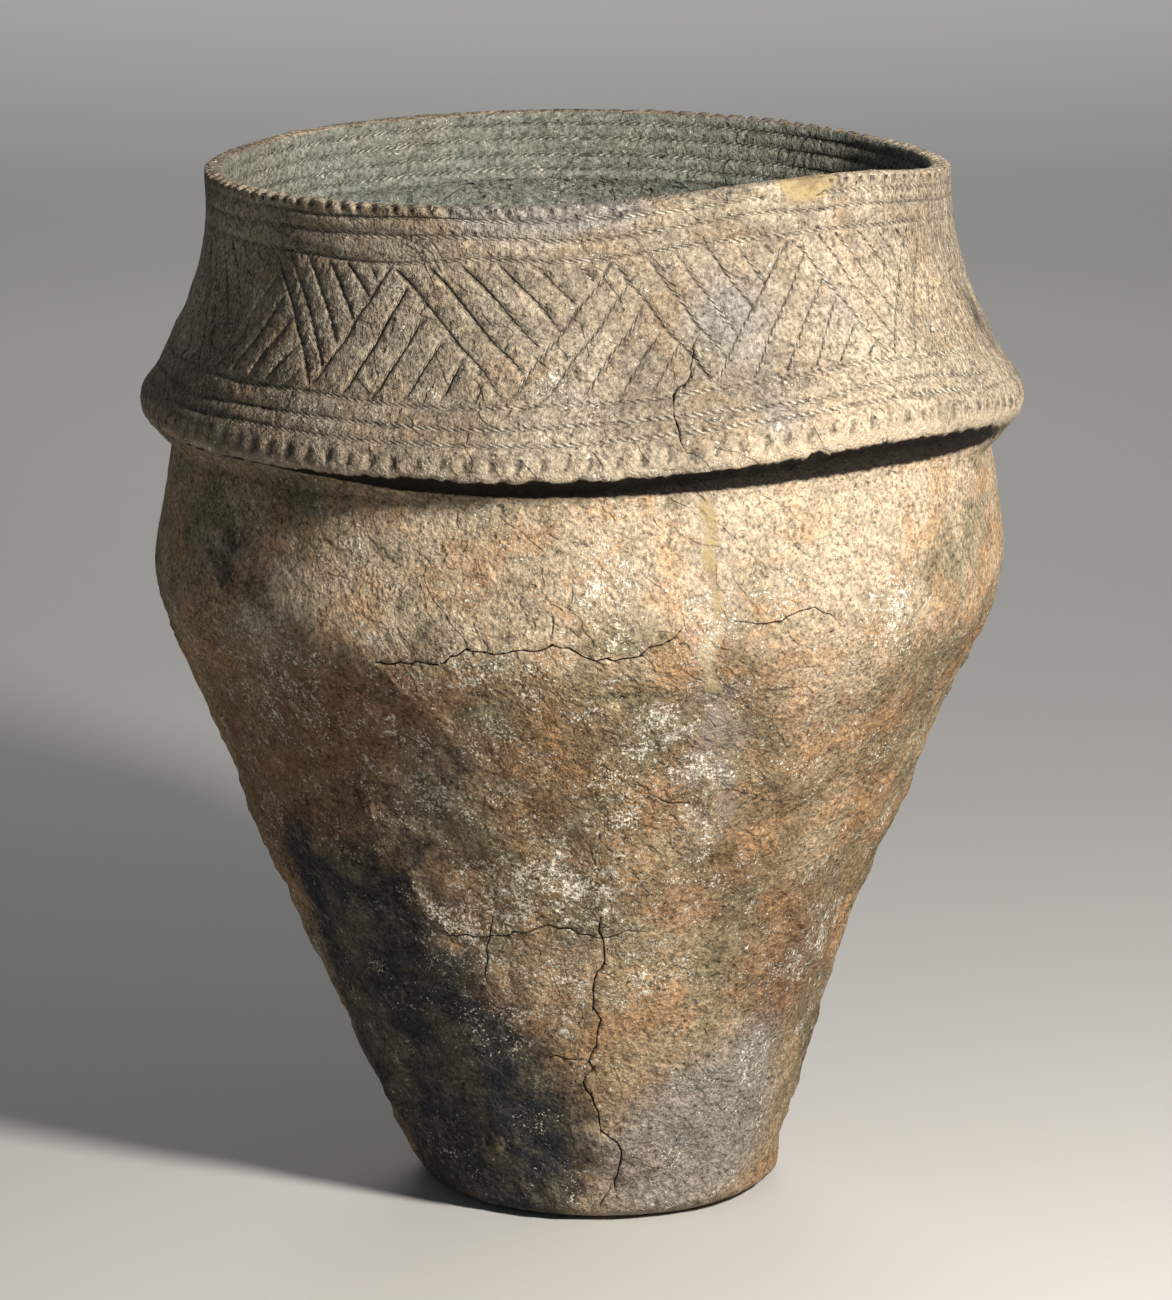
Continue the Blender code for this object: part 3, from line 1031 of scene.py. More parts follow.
# %% Paint soft patches
SOOT = (
    (430, 1030, 0.042, 0.65), (470, 1110, 0.038, 0.8), (400, 960, 0.036, 0.4), (500, 1180, 0.026, 0.8),
    (450, 760, 0.018, 0.35), (420, 840, 0.034, 0.45), (560, 1150, 0.022, 0.35), (345, 900, 0.034, 0.4),
    (300, 850, 0.026, 0.3), (335, 925, 0.032, 0.35), (375, 1010, 0.032, 0.45), (410, 1090, 0.030, 0.7),
    (440, 1150, 0.030, 0.9), (480, 1195, 0.024, 0.9), (400, 1040, 0.026, 0.4),
    (230, 560, 0.030, 0.45), (975, 310, 0.014, 0.45), (790, 800, 0.020, 0.25), (740, 1130, 0.016, 0.25),
)
HIDDEN_SOOT = (
    (-150, 0.120, 0.060, 0.9), (-120, 0.060, 0.050, 0.8), (120, 0.200, 0.050, 0.5), (170, 0.330, 0.040, 0.35),
    (95, 0.060, 0.040, 0.5), (-95, 0.220, 0.045, 0.4),
)
REDDENED = (
    (330, 720, 0.034, 0.9), (420, 560, 0.022, 0.2), (500, 600, 0.022, 0.25), (560, 760, 0.034, 0.4),
    (390, 700, 0.020, 0.6), (700, 900, 0.026, 0.4), (800, 940, 0.026, 0.6), (330, 800, 0.026, 0.7),
    (460, 430, 0.016, 0.3), (300, 480, 0.018, 0.4), (850, 700, 0.022, 0.3), (780, 1010, 0.02, 0.5),
    (235, 730, 0.028, 0.5), (262, 800, 0.030, 0.6), (290, 870, 0.030, 0.5),
)
HIDDEN_REDDENED = (
    (180, 0.220, 0.060, 0.6), (140, 0.110, 0.050, 0.6), (-100, 0.140, 0.040, 0.5), (-140, 0.280, 0.040, 0.5),
    (100, 0.330, 0.040, 0.4),
)
PALE = (
    (820, 520, 0.040, 0.9), (900, 500, 0.030, 0.6), (700, 560, 0.022, 0.25), (360, 590, 0.022, 0.10),
    (930, 300, 0.026, 0.35), (760, 460, 0.02, 0.5), (880, 420, 0.026, 0.25), (300, 140, 0.03, 0.4),
    (610, 588, 0.018, 0.7), (700, 1050, 0.03, 0.3), (825, 690, 0.030, 0.6), (820, 850, 0.026, 0.35),
    (700, 610, 0.012, 0.6),
)
HIDDEN_PALE = (
    (150, 0.270, 0.045, 0.7), (-160, 0.350, 0.040, 0.5), (-90, 0.090, 0.030, 0.4), (110, 0.130, 0.03, 0.4),
)
GREYED = (
    (730, 320, 0.022, 0.7), (780, 420, 0.014, 0.6), (560, 380, 0.02, 0.3), (840, 300, 0.014, 0.4),
    (700, 1120, 0.03, 0.5), (640, 1180, 0.03, 0.5), (760, 1040, 0.02, 0.4), (720, 700, 0.010, 0.5),
    (740, 740, 0.010, 0.5), (300, 350, 0.02, 0.25), (730, 1130, 0.030, 0.6), (470, 206, 0.010, 0.8),
    (510, 207, 0.010, 0.9), (550, 206, 0.010, 0.9), (590, 207, 0.010, 0.9), (630, 204, 0.009, 0.7),
)
HIDDEN_GREYED = ((160, 0.080, 0.040, 0.5), (-170, 0.180, 0.035, 0.4), (-110, 0.330, 0.03, 0.4))
CRUSTED = (
    (600, 880, 0.014, 0.6), (560, 880, 0.012, 0.4), (405, 735, 0.010, 0.8), (425, 790, 0.014, 0.7),
    (380, 640, 0.012, 0.7), (480, 660, 0.020, 0.5), (520, 900, 0.024, 0.6), (800, 960, 0.016, 0.45),
    (825, 930, 0.012, 0.35), (750, 1060, 0.012, 0.6), (610, 590, 0.016, 0.9), (900, 600, 0.014, 0.8),
    (705, 608, 0.010, 0.9),
    (780, 600, 0.016, 0.6), (450, 930, 0.020, 0.6), (640, 960, 0.02, 0.5), (280, 700, 0.024, 0.4),
    (650, 740, 0.012, 0.8), (690, 780, 0.010, 0.8), (250, 620, 0.024, 0.4), (500, 1010, 0.02, 0.5),
    (320, 405, 0.010, 0.5), (280, 420, 0.010, 0.4), (560, 560, 0.014, 0.4), (880, 620, 0.012, 0.6),
)
HIDDEN_CRUSTED = (
    (180, 0.300, 0.030, 0.6), (150, 0.200, 0.040, 0.7), (-160, 0.100, 0.040, 0.7), (-120, 0.240, 0.030, 0.5),
    (110, 0.090, 0.030, 0.6), (-140, 0.340, 0.025, 0.4), (90, 0.270, 0.030, 0.5),
)
ROUGHENED = ((450, 740, 0.05, 0.8), (600, 800, 0.05, 0.6), (480, 950, 0.05, 0.7), (700, 850, 0.04, 0.4))
CHIPPED = (
    (403, 329, 0.0022, 0.7), (811, 322, 0.0022, 0.7), (814, 262, 0.0022, 0.7), (566, 676, 0.003, 0.5),
    (636, 716, 0.0026, 0.9), (655, 723, 0.0028, 0.9), (672, 738, 0.0028, 0.8), (690, 758, 0.0028, 0.8),
    (470, 150, 0.0018, 0.5), (345, 136, 0.0022, 0.7), (942, 358, 0.0022, 0.7),
)
RIBBED = ((930, 280, 0.030, 1.0), (960, 350, 0.030, 1.0), (945, 220, 0.020, 0.6), (215, 300, 0.040, 0.8))
HIDDEN_RIBBED = ((90, 0.350, 0.045, 0.9), (-95, 0.350, 0.050, 0.8))

points = np.empty(len(urn_mesh.vertices) * 3, np.float32)
urn_mesh.vertices.foreach_get("co", points)
points = points.reshape(-1, 3).astype(float)


def settled_point(azimuth, level):
    place = wall_point(azimuth, level)
    return Vector((place.x + sway(level), place.y, level + lift(azimuth, level)))


def patch(seen, hidden=()):
    """Sum of soft round patches over the pot's points, from 0 to 1."""
    spots = [(cast((x, y)), *size) for x, y, *size in seen]
    spots += [(settled_point(azimuth, level), *size) for azimuth, level, *size in hidden]
    total = np.zeros(len(points))
    for centre, radius, strength in spots:
        if centre is not None:
            away = np.linalg.norm(points - np.array(centre), axis=1)
            total += strength * np.exp(-((away / radius) ** 2))
    return np.clip(total, 0.0, 1.0)


def keep(name, values):
    """Stores one number a point on the mesh, for the finish to read."""
    layer = urn_mesh.attributes.new(name, "FLOAT", "POINT")
    layer.data.foreach_set("value", values.astype(np.float32))


PATCHES = {
    "soot": (SOOT, HIDDEN_SOOT),
    "reddened": (REDDENED, HIDDEN_REDDENED),
    "pale": (PALE, HIDDEN_PALE),
    "greyed": (GREYED, HIDDEN_GREYED),
    "crusted": (CRUSTED, HIDDEN_CRUSTED),
    "roughened": (ROUGHENED,),
    "chipped": (CHIPPED,),
    "ribbed": (RIBBED, HIDDEN_RIBBED),
}
for name, spots in PATCHES.items():
    keep(name, patch(*spots))
print("painted attributes:", len(urn_mesh.attributes))

# %% [markdown]
# The painted shadow under the collar
#
# The cleft under the collar is painted near black as shade, for the shadow that falls there. The band
# of painted shade is as wide as the cleft and thins out on the left of the front, where the cleft
# closes. The arris over it is worn pale and is painted lighter where it turns from the light, and it
# takes more of the crust.

# %% Paint the cleft's shadow and the arris
SHADED_LEVEL = 0.3037
SHADED_REACH = 0.0036
CLOSED_AZIMUTH = -62.0
CLOSED_SPREAD = 30.0
ARRIS_LEVEL = 0.3088
ARRIS_REACH = 0.0020


def kept_number(name):
    values = np.empty(len(urn_mesh.vertices), np.float32)
    urn_mesh.attributes[name].data.foreach_get("value", values)
    return values


levels = kept_number("level")
outer = kept_number("side") > 0
azimuths = np.degrees(np.arctan2(points[:, 0], -points[:, 1]))
overhung = np.minimum(np.abs(np.cos(np.radians(azimuths))) / UNDERCUT_FULL_WITHIN, 1.0)
closed = np.exp(-(((azimuths - CLOSED_AZIMUTH) / CLOSED_SPREAD) ** 4))
reach = SHADED_REACH * (1.0 - 0.7 * closed)
middle = SHADED_LEVEL + 0.0018 * closed
# Painted shade: the cleft goes near black where the collar overhangs, thinner where it closes.
keep("shaded", np.exp(-(((levels - middle) / reach) ** 4)) * outer * overhung)
# The arris is worn pale, and painted lighter as well where its rounded underside turns from the light.
keep("arris_wear_and_light", np.exp(-(((levels - ARRIS_LEVEL) / ARRIS_REACH) ** 2)) * outer)
print("points in the cleft:", int((np.abs(levels - SHADED_LEVEL) < SHADED_REACH).sum()))

# %% [markdown]
# The mender's plaster
#
# Somebody mended the urn: a cream-yellow plaster fills a chip in the lip and runs down an old break
# from the collar over the shoulder. The seam is painted as the nearness to a line, and the fill as
# the half moon that already kept the cords off the lip. Their edges are torn by noise in the finish.

# %% Paint the plaster
SEAM_STRONG = SEAM[: SEAM_FADES_FROM + 1]
SEAM_FADING = SEAM[SEAM_FADES_FROM:]


def line_nearness(pixels, half_width):
    """1 on a line through picture places, falling to 0 at half a width away."""
    stops = [np.array(cast(pixel)) for pixel in pixels if cast(pixel) is not None]
    best = np.full(len(points), 9.0)
    for a, b in zip(stops, stops[1:]):
        run = b - a
        share = np.clip(((points - a) @ run) / (run @ run), 0.0, 1.0)
        best = np.minimum(best, np.linalg.norm(points - a - share[:, None] * run, axis=1))
    return np.clip(1.0 - best / half_width, 0.0, 1.0)


seam = np.maximum(
    line_nearness(SEAM_STRONG, SEAM_HALF_WIDTH * 1.8),
    0.6 * line_nearness(SEAM_FADING, SEAM_HALF_WIDTH * 1.8),
)
fill = np.clip(1.6 * in_fill(azimuths, levels), 0.0, 1.0) * (outer | (levels > RIM_HEIGHT - 0.004))
plaster = np.maximum(0.9 * seam, fill)
keep("plaster", plaster)
keep("seam_halo", np.maximum(0.7 * line_nearness(SEAM_STRONG, 0.012), line_nearness(SEAM_FADING, 0.015)))
print("plastered points:", int((plaster > 0).sum()))

# %% [markdown]
# Small helpers for materials
#
# A material is a graph, and a few helpers keep it readable. They add a node and fill its sockets, do
# arithmetic, turn a range into a mask, lay one colour over another, give noise or an attribute, and
# make and place a node group. A number that varies over the surface may come from them, while uniform
# values stay on the shader itself.


# %% Write the node helpers
def add(tree, kind, inputs=None, **settings):
    """Adds a node; inputs maps a socket's name or number to a value or to another socket."""
    node = tree.nodes.new(kind)
    for name, value in settings.items():
        setattr(node, name, value)
    for name, value in (inputs or {}).items():
        socket = node.inputs[name]
        if isinstance(value, bpy.types.NodeSocket):
            tree.links.new(value, socket)
        else:
            socket.default_value = value
    return node


def maths(tree, operation, first, second=0.0, third=0.0, clamp=False):
    values = {0: first, 1: second, 2: third}
    return add(tree, "ShaderNodeMath", values, operation=operation, use_clamp=clamp).outputs[0]


def ramp(tree, value, low, high, to_low=0.0, to_high=1.0):
    """Maps low..high to 0..1 with soft ends."""
    inputs = {"Value": value, "From Min": low, "From Max": high, "To Min": to_low, "To Max": to_high}
    return add(tree, "ShaderNodeMapRange", inputs, interpolation_type="SMOOTHSTEP").outputs["Result"]


def blend(tree, mask, under, over):
    """Lays one colour over another by a mask."""
    node = add(tree, "ShaderNodeMix", {"Factor": mask, 6: under, 7: over}, data_type="RGBA")
    return node.outputs[2]


def noise_at(tree, where, scale, detail=3.0, rough=0.6, distortion=0.0):
    inputs = {"Vector": where, "Scale": scale, "Detail": detail, "Roughness": rough, "Distortion": distortion}
    return add(tree, "ShaderNodeTexNoise", inputs).outputs["Fac"]


def attribute(tree, name):
    return add(tree, "ShaderNodeAttribute", attribute_name=name).outputs["Fac"]


def group(name, inputs, outputs):
    """An empty node group with float, colour or vector sockets."""
    tree = bpy.data.node_groups.new(name, "ShaderNodeTree")
    for socket, kind in inputs:
        tree.interface.new_socket(socket, in_out="INPUT", socket_type=kind)
    for socket, kind in outputs:
        tree.interface.new_socket(socket, in_out="OUTPUT", socket_type=kind)
    return tree, tree.nodes.new("NodeGroupInput").outputs, tree.nodes.new("NodeGroupOutput").inputs


def use(tree, shared, inputs):
    """Places a shared group; its settings go first, since its sockets come with its tree."""
    return add(tree, "ShaderNodeGroup", inputs, node_tree=shared).outputs


FLOAT, VECTOR = "NodeSocketFloat", "NodeSocketVector"
print("node groups before the materials:", len(bpy.data.node_groups))

# %% [markdown]
# Grit and pits
#
# The clay was opened with crushed stone, so its surface is a sandpaper of grains about a millimetre
# across and of small pits where grains fell out. The group gives a height for the bump and a mask of
# the pits for the colour. Its scale and roughness are inputs, so another clay could use it as well.


# %% Build the grit group
FINE_GRAIN = (900.0, 2.0, 0.65)
COARSE_GRAIN = (300.0, 3.0, 0.62)
PIT_CELLS = 260.0
PIT_CHANCE = (70.0, 2.0, 0.5)
PIT_DEPTH = 0.6


def build_grit():
    tree, given, made = group(
        "coarse_grit",
        (("Place", VECTOR), ("Scale", FLOAT), ("Roughness", FLOAT)),
        (("Height", FLOAT), ("Pits", FLOAT)),
    )

    def scaled(scale):
        return maths(tree, "MULTIPLY", given["Scale"], scale)

    def grain_noise(scale, detail, rough):
        return noise_at(tree, given["Place"], scaled(scale), detail, rough)

    cell_inputs = {"Vector": given["Place"], "Scale": scaled(PIT_CELLS), "Randomness": 1.0}
    cells = add(tree, "ShaderNodeTexVoronoi", cell_inputs, feature="F1").outputs["Distance"]
    chance = ramp(tree, grain_noise(*PIT_CHANCE), 0.52, 0.66)
    pits = maths(tree, "MULTIPLY", ramp(tree, cells, 0.34, 0.10), chance)
    pits = maths(tree, "MULTIPLY", pits, given["Roughness"], clamp=True)
    coarse = maths(tree, "MULTIPLY", grain_noise(*COARSE_GRAIN), given["Roughness"])
    height = maths(tree, "MULTIPLY_ADD", grain_noise(*FINE_GRAIN), 0.35, coarse)
    height = maths(tree, "SUBTRACT", height, maths(tree, "MULTIPLY", pits, PIT_DEPTH))
    tree.links.new(height, made["Height"])
    tree.links.new(pits, made["Pits"])
    return tree


coarse_grit = build_grit()
print("group", coarse_grit.name, "with", len(coarse_grit.nodes), "nodes")

# %% [markdown]
# The twist of the cord
#
# In a cord's groove the strands of the cord lie at a slant, like the dashes of a rope. With the
# distance along the cord and across it, a sine wave gives exactly that: the slant is the across
# value added to the along value before the wave is taken. Chalk stayed on the ridges between the
# dashes, so the ridge height serves the colour as well.


# %% Build the cord group
def build_cord():
    tree, given, made = group(
        "cord_twist",
        (("Along", FLOAT), ("Across", FLOAT), ("Pressed", FLOAT), ("Pitch", FLOAT)),
        (("Height", FLOAT), ("Shade", FLOAT)),
    )
    turns = maths(tree, "DIVIDE", given["Along"], given["Pitch"])
    slanted = maths(tree, "MULTIPLY_ADD", given["Across"], 0.75, turns)
    wave = maths(tree, "SINE", maths(tree, "MULTIPLY", slanted, 2 * pi))
    strand = ramp(tree, wave, -0.4, 0.8)
    inside = ramp(tree, given["Pressed"], 0.05, 0.60)
    height = maths(tree, "MULTIPLY", maths(tree, "SUBTRACT", 1.0, strand), inside)
    # The dashes between the strands get painted shade.
    shade = maths(tree, "MULTIPLY", maths(tree, "MULTIPLY_ADD", strand, 0.8, 0.2), inside)
    tree.links.new(height, made["Height"])
    tree.links.new(shade, made["Shade"])
    return tree


cord_twist = build_cord()
print("group", cord_twist.name, "with", len(cord_twist.nodes), "nodes")

# %% [markdown]
# The lime crust
#
# Chalky water dried on the pot in the ground and left cream specks and patches. They sit in broken
# shapes, so two noises of different size are added before the threshold, and the painted attribute
# only says how likely a patch is. Single specks no wider than a grain of sand lie between the
# patches, in loose clusters, and they are a finer pair of noises.


# %% Build the crust group
ISLANDS = (85.0, 4.0, 0.72, 0.3)
FLECKS = (480.0, 3.0, 0.78)
CLUSTERS = (60.0, 3.0, 0.68, 0.4)
SPECKS = (950.0, 2.0, 0.6)
COARSE_SHARE = 0.42
FINE_SHARE = 0.58


def build_crust():
    tree, given, made = group(
        "lime_crust", (("Place", VECTOR), ("Density", FLOAT)), (("Mask", FLOAT), ("Film", FLOAT))
    )

    def summed(coarse, fine, pull):
        """Two noises of different size and the wanted density, ready for a threshold."""
        wide = maths(tree, "MULTIPLY", noise_at(tree, given["Place"], *coarse), COARSE_SHARE)
        wanted = maths(tree, "MULTIPLY_ADD", given["Density"], pull, wide)
        return maths(tree, "MULTIPLY_ADD", noise_at(tree, given["Place"], *fine), FINE_SHARE, wanted)

    amount = summed(ISLANDS, FLECKS, 0.090)
    specks = ramp(tree, summed(CLUSTERS, SPECKS, 0.065), 0.605, 0.640)
    mask = maths(tree, "MAXIMUM", ramp(tree, amount, 0.600, 0.655), specks)
    tree.links.new(mask, made["Mask"])
    tree.links.new(ramp(tree, amount, 0.48, 0.64), made["Film"])
    return tree


lime_crust = build_crust()
print("group", lime_crust.name, "with", len(lime_crust.nodes), "nodes")

# %% [markdown]
# The clay's colours
#
# These are the colours that the pot's history gave it, mixed against the photograph: the clay of the
# collar and the body, what the fire left, and what the mender and the soil added. Beside them stand
# the painted shade of the cleft, the cords and the dents, and the painted light on the arris. They are
# linear values, so they look darker as numbers than on the pot. Each layer is a colour with the
# strength it has where its mask is full. The depths say how far each kind of grain stands out in the
# bump, in metres.

# %% Name the colours, layers and depths
COLLAR_BROWN = (0.185, 0.155, 0.115, 1.0)
COLLAR_BUFF = (0.320, 0.272, 0.205, 1.0)
GREY_BUFF = (0.190, 0.152, 0.095, 1.0)
CREAM_BUFF = (0.410, 0.330, 0.235, 1.0)
OCHRE_BUFF = (0.295, 0.218, 0.132, 1.0)
BROWN = (0.160, 0.106, 0.058, 1.0)
ORANGE = (0.380, 0.215, 0.105, 1.0)
OLIVE_BROWN = (0.160, 0.140, 0.086, 1.0)
RED_BROWN = (0.140, 0.078, 0.046, 1.0)
OLIVE_GREY = (0.148, 0.170, 0.150, 1.0)
GREY = (0.195, 0.192, 0.185, 1.0)
LILAC_GREY = (0.300, 0.265, 0.265, 1.0)
SOOT_BLACK = (0.009, 0.019, 0.030, 1.0)
CREAM = (0.72, 0.68, 0.57, 1.0)
PLASTER = (0.31, 0.24, 0.115, 1.0)
PLASTER_PALE = (0.42, 0.36, 0.235, 1.0)
DARK = (0.018, 0.013, 0.010, 1.0)
# Painted shade for the cleft under the collar.
CLEFT_SHADE_BLACK = (0.004, 0.003, 0.003, 1.0)

LAYERS = {
    "pale": (0.80, CREAM_BUFF),
    "reddened": (0.85, RED_BROWN),
    "greyed": (0.70, GREY),
    "soot": (0.92, SOOT_BLACK),
    "pits": (0.75, DARK),
    "halo": (0.65, LILAC_GREY),
    # Worn pale arris, with painted light on its shaded underside.
    "arris_wear_and_light": (0.75, CREAM_BUFF),
    "film": (0.20, CREAM_BUFF),
    "crust": (0.80, CREAM),
    "chip": (0.70, CREAM),
    # Painted shade in the dashes of the cords.
    "twist": (0.36, DARK),
    "crack": (0.95, DARK),
}
PLASTER_STRENGTH = 0.9
SPECULAR = 0.10
CORD_PITCH = 0.0034

GRIT_BUMP = 0.0017
MOTTLE_BUMP = 0.0030
STREAK_BUMP = 0.0016
FLAKE_BUMP = 0.0007
RIB_BUMP = 0.0012
CRUST_BUMP = 0.00035
CHIP_BUMP = 0.0008
TWIST_BUMP = 0.0005
print("layers of colour over the clay:", len(LAYERS))

# %% [markdown]
# The noises that the layers share
#
# A patch of colour, the lump under it and the crust on it have to agree, so each noise is made once
# and every layer reads the same one. There are clouds a hand wide, hues and mottles of one to three
# centimetres, streaks that follow the grain of the relief, and dust as coarse as sand. The collar
# also has fine upright ridges, as a wet thumb leaves them. Each noise is given as scale, detail,
# roughness and distortion.

# %% Gather what the layers read
CLOUD = (14.0, 3.0, 0.62, 0.6)
HUE = (34.0, 3.0, 0.64, 0.5)
MOTTLE = (75.0, 4.0, 0.66, 0.3)
STREAKS = (230.0, 4.0, 0.72, 0.2)
DUST = (620.0, 3.0, 0.75, 0.0)
RIBS = (620.0, 2.0, 0.6, 0.0)
RIB_STRETCH = 0.07
FLAKES = (60.0, 2.0, 0.6, 0.5)
COLLAR_ENDS = (0.306, 0.300)
BODY_STARTS = (0.262, 0.235)
PAINTED = tuple(PATCHES) + ("shaded", "arris_wear_and_light", "plaster", "seam_halo")
MARKS = PAINTED + ("level", "side", "cord", "cord_along", "cord_across", "crack", "dirt")


def stretched(tree, place, share):
    """A place whose height counts for a share only, which draws noise out upwards."""
    factors = {0: place, 1: (1.0, 1.0, share)}
    return add(tree, "ShaderNodeVectorMath", factors, operation="MULTIPLY").outputs[0]


class Surface:
    """What the layers read: places, noises and the numbers kept on the mesh."""

    def __init__(self, tree):
        self.tree = tree
        self.place = add(tree, "ShaderNodeTexCoord").outputs["Object"]
        upwards = add(tree, "ShaderNodeSeparateXYZ", {0: self.place}).outputs[2]
        turn = {"Vector": self.place, "Angle": maths(tree, "MULTIPLY", upwards, GRAIN_TWIST)}
        turned = add(tree, "ShaderNodeVectorRotate", turn, rotation_type="Z_AXIS").outputs[0]
        self.grain = stretched(tree, turned, GRAIN_STRETCH)
        self.cloud = noise_at(tree, self.place, *CLOUD)
        self.hue = noise_at(tree, self.place, *HUE)
        self.mottle = noise_at(tree, self.place, *MOTTLE)
        self.streaks = noise_at(tree, self.grain, *STREAKS)
        self.dust = noise_at(tree, self.place, *DUST)
        self.ribs = noise_at(tree, stretched(tree, self.place, RIB_STRETCH), *RIBS)
        self.mark = {name: attribute(tree, name) for name in MARKS}
        self.below_collar = ramp(tree, self.mark["level"], *COLLAR_ENDS)
        self.body = ramp(tree, self.mark["level"], *BODY_STARTS)


print("numbers that the finish reads from the mesh:", len(MARKS))

# %% [markdown]
# The fired clay, layer by layer
#
# The colour is built up as the pot's own history went: clay first, then the fire's clouds, then the
# mender's plaster, the soil's crust, and last the dark of cracks and grooves. The masks that shape
# the colour shape the bump as well, so a crust stands up and a pit goes in.


# %% Lay the colours
def centred(tree, value):
    return maths(tree, "SUBTRACT", value, 0.5)


def broken(tree, mask, detail, strength=0.5):
    """A painted mask whose soft edge is torn by noise."""
    return ramp(tree, maths(tree, "MULTIPLY_ADD", centred(tree, detail), strength, mask), 0.12, 0.75)


def lay(tree, skin, name, mask):
    """Lays one of the named layers over the skin where its mask says so."""
    strength, colour = LAYERS[name]
    return blend(tree, maths(tree, "MULTIPLY", mask, strength), skin, colour)


def raw_clay(tree, surface):
    """Brown body, buff shoulder and duller collar, with pale, orange and olive patches."""
    cloudy = ramp(tree, surface.cloud, 0.36, 0.64)
    body = blend(tree, cloudy, BROWN, OCHRE_BUFF)
    shoulder = blend(tree, cloudy, GREY_BUFF, CREAM_BUFF)
    collar = blend(tree, cloudy, COLLAR_BROWN, COLLAR_BUFF)
    ragged = maths(tree, "MULTIPLY_ADD", centred(tree, surface.mottle), 0.06, surface.mark["level"])
    skin = blend(tree, ramp(tree, ragged, 0.225, 0.255), body, shoulder)
    skin = blend(tree, surface.below_collar, collar, skin)
    skin = lay(tree, skin, "pale", broken(tree, surface.mark["pale"], surface.cloud))

    wide = ramp(tree, surface.hue, 0.48, 0.66, 0.0, 0.50)
    small = ramp(tree, surface.mottle, 0.50, 0.72, 0.0, 0.45)
    less_above = maths(tree, "MULTIPLY_ADD", surface.below_collar, 0.65, 0.35)
    orange = maths(tree, "MULTIPLY", maths(tree, "ADD", wide, small), less_above)
    skin = blend(tree, orange, skin, ORANGE)
    olive = maths(tree, "MULTIPLY", ramp(tree, surface.hue, 0.50, 0.34, 0.0, 0.75), surface.below_collar)
    olive = maths(tree, "MULTIPLY", olive, ramp(tree, surface.mark["pale"], 0.6, 0.1))
    return blend(tree, olive, skin, OLIVE_BROWN)


def fire_clouds(tree, surface, skin, soot):
    """Reddened, greyed and sooted clay, and the dusty inside."""
    skin = lay(tree, skin, "reddened", broken(tree, surface.mark["reddened"], surface.mottle, 0.8))
    skin = lay(tree, skin, "greyed", broken(tree, surface.mark["greyed"], surface.cloud, 0.6))
    skin = lay(tree, skin, "soot", soot)
    inside = ramp(tree, surface.mark["side"], 0.5, -0.5)
    inside = maths(tree, "MULTIPLY", inside, ramp(tree, surface.cloud, 0.3, 0.7, 0.55, 0.95))
    return blend(tree, inside, skin, OLIVE_GREY)


def speckled(tree, surface, skin):
    """The sand in the clay: light and dark grains, streaks, and painted light and shade on the collar's
    ridges.
    """
    sandy = ramp(tree, surface.dust, 0.30, 0.72, 0.50, 1.55)
    speckle = maths(tree, "MULTIPLY", sandy, ramp(tree, surface.streaks, 0.3, 0.7, 0.72, 1.28))
    # Painted light and shade on the ridges: crests lighter, hollows darker.
    ridged = maths(tree, "MULTIPLY", surface.mark["ribbed"], 1.4)
    rib_shade = maths(tree, "MULTIPLY_ADD", centred(tree, surface.ribs), ridged, 1.0)
    speckle = maths(tree, "MULTIPLY", speckle, rib_shade)
    grey = add(tree, "ShaderNodeCombineColor", {0: speckle, 1: speckle, 2: speckle}).outputs[0]
    multiply = {"Factor": 1.0, 6: skin, 7: grey}
    return add(tree, "ShaderNodeMix", multiply, data_type="RGBA", blend_type="MULTIPLY").outputs[2]


def mended(tree, surface, skin):
    """The stained clay beside the seam, and the plaster with its own mottles."""
    halo = maths(tree, "MULTIPLY", surface.mark["seam_halo"], ramp(tree, surface.mottle, 0.38, 0.60))
    skin = lay(tree, skin, "halo", halo)
    paste = blend(tree, ramp(tree, surface.hue, 0.50, 0.62), PLASTER, PLASTER_PALE)
    paste = blend(tree, ramp(tree, surface.dust, 0.52, 0.40, 0.0, 0.6), paste, OCHRE_BUFF)
    paste = blend(tree, ramp(tree, surface.mottle, 0.47, 0.36, 0.0, 0.7), paste, BROWN)
    torn = maths(tree, "MULTIPLY_ADD", surface.mottle, 0.6, maths(tree, "MULTIPLY", surface.streaks, 0.4))
    mask = maths(tree, "MULTIPLY", broken(tree, surface.mark["plaster"], torn, 2.4), PLASTER_STRENGTH)
    return blend(tree, mask, skin, paste)


def crust_density(tree, surface, arris_wear_and_light, soot):
    """How likely a crust is: more by the seam, on the body and on the arris, less on soot."""
    density = maths(tree, "MULTIPLY_ADD", surface.mark["seam_halo"], 0.3, surface.mark["crusted"])
    density = maths(tree, "MULTIPLY_ADD", arris_wear_and_light, 0.6, density)
    density = maths(tree, "MULTIPLY_ADD", surface.body, 0.25, density)
    return maths(tree, "MULTIPLY_ADD", soot, -0.5, density)


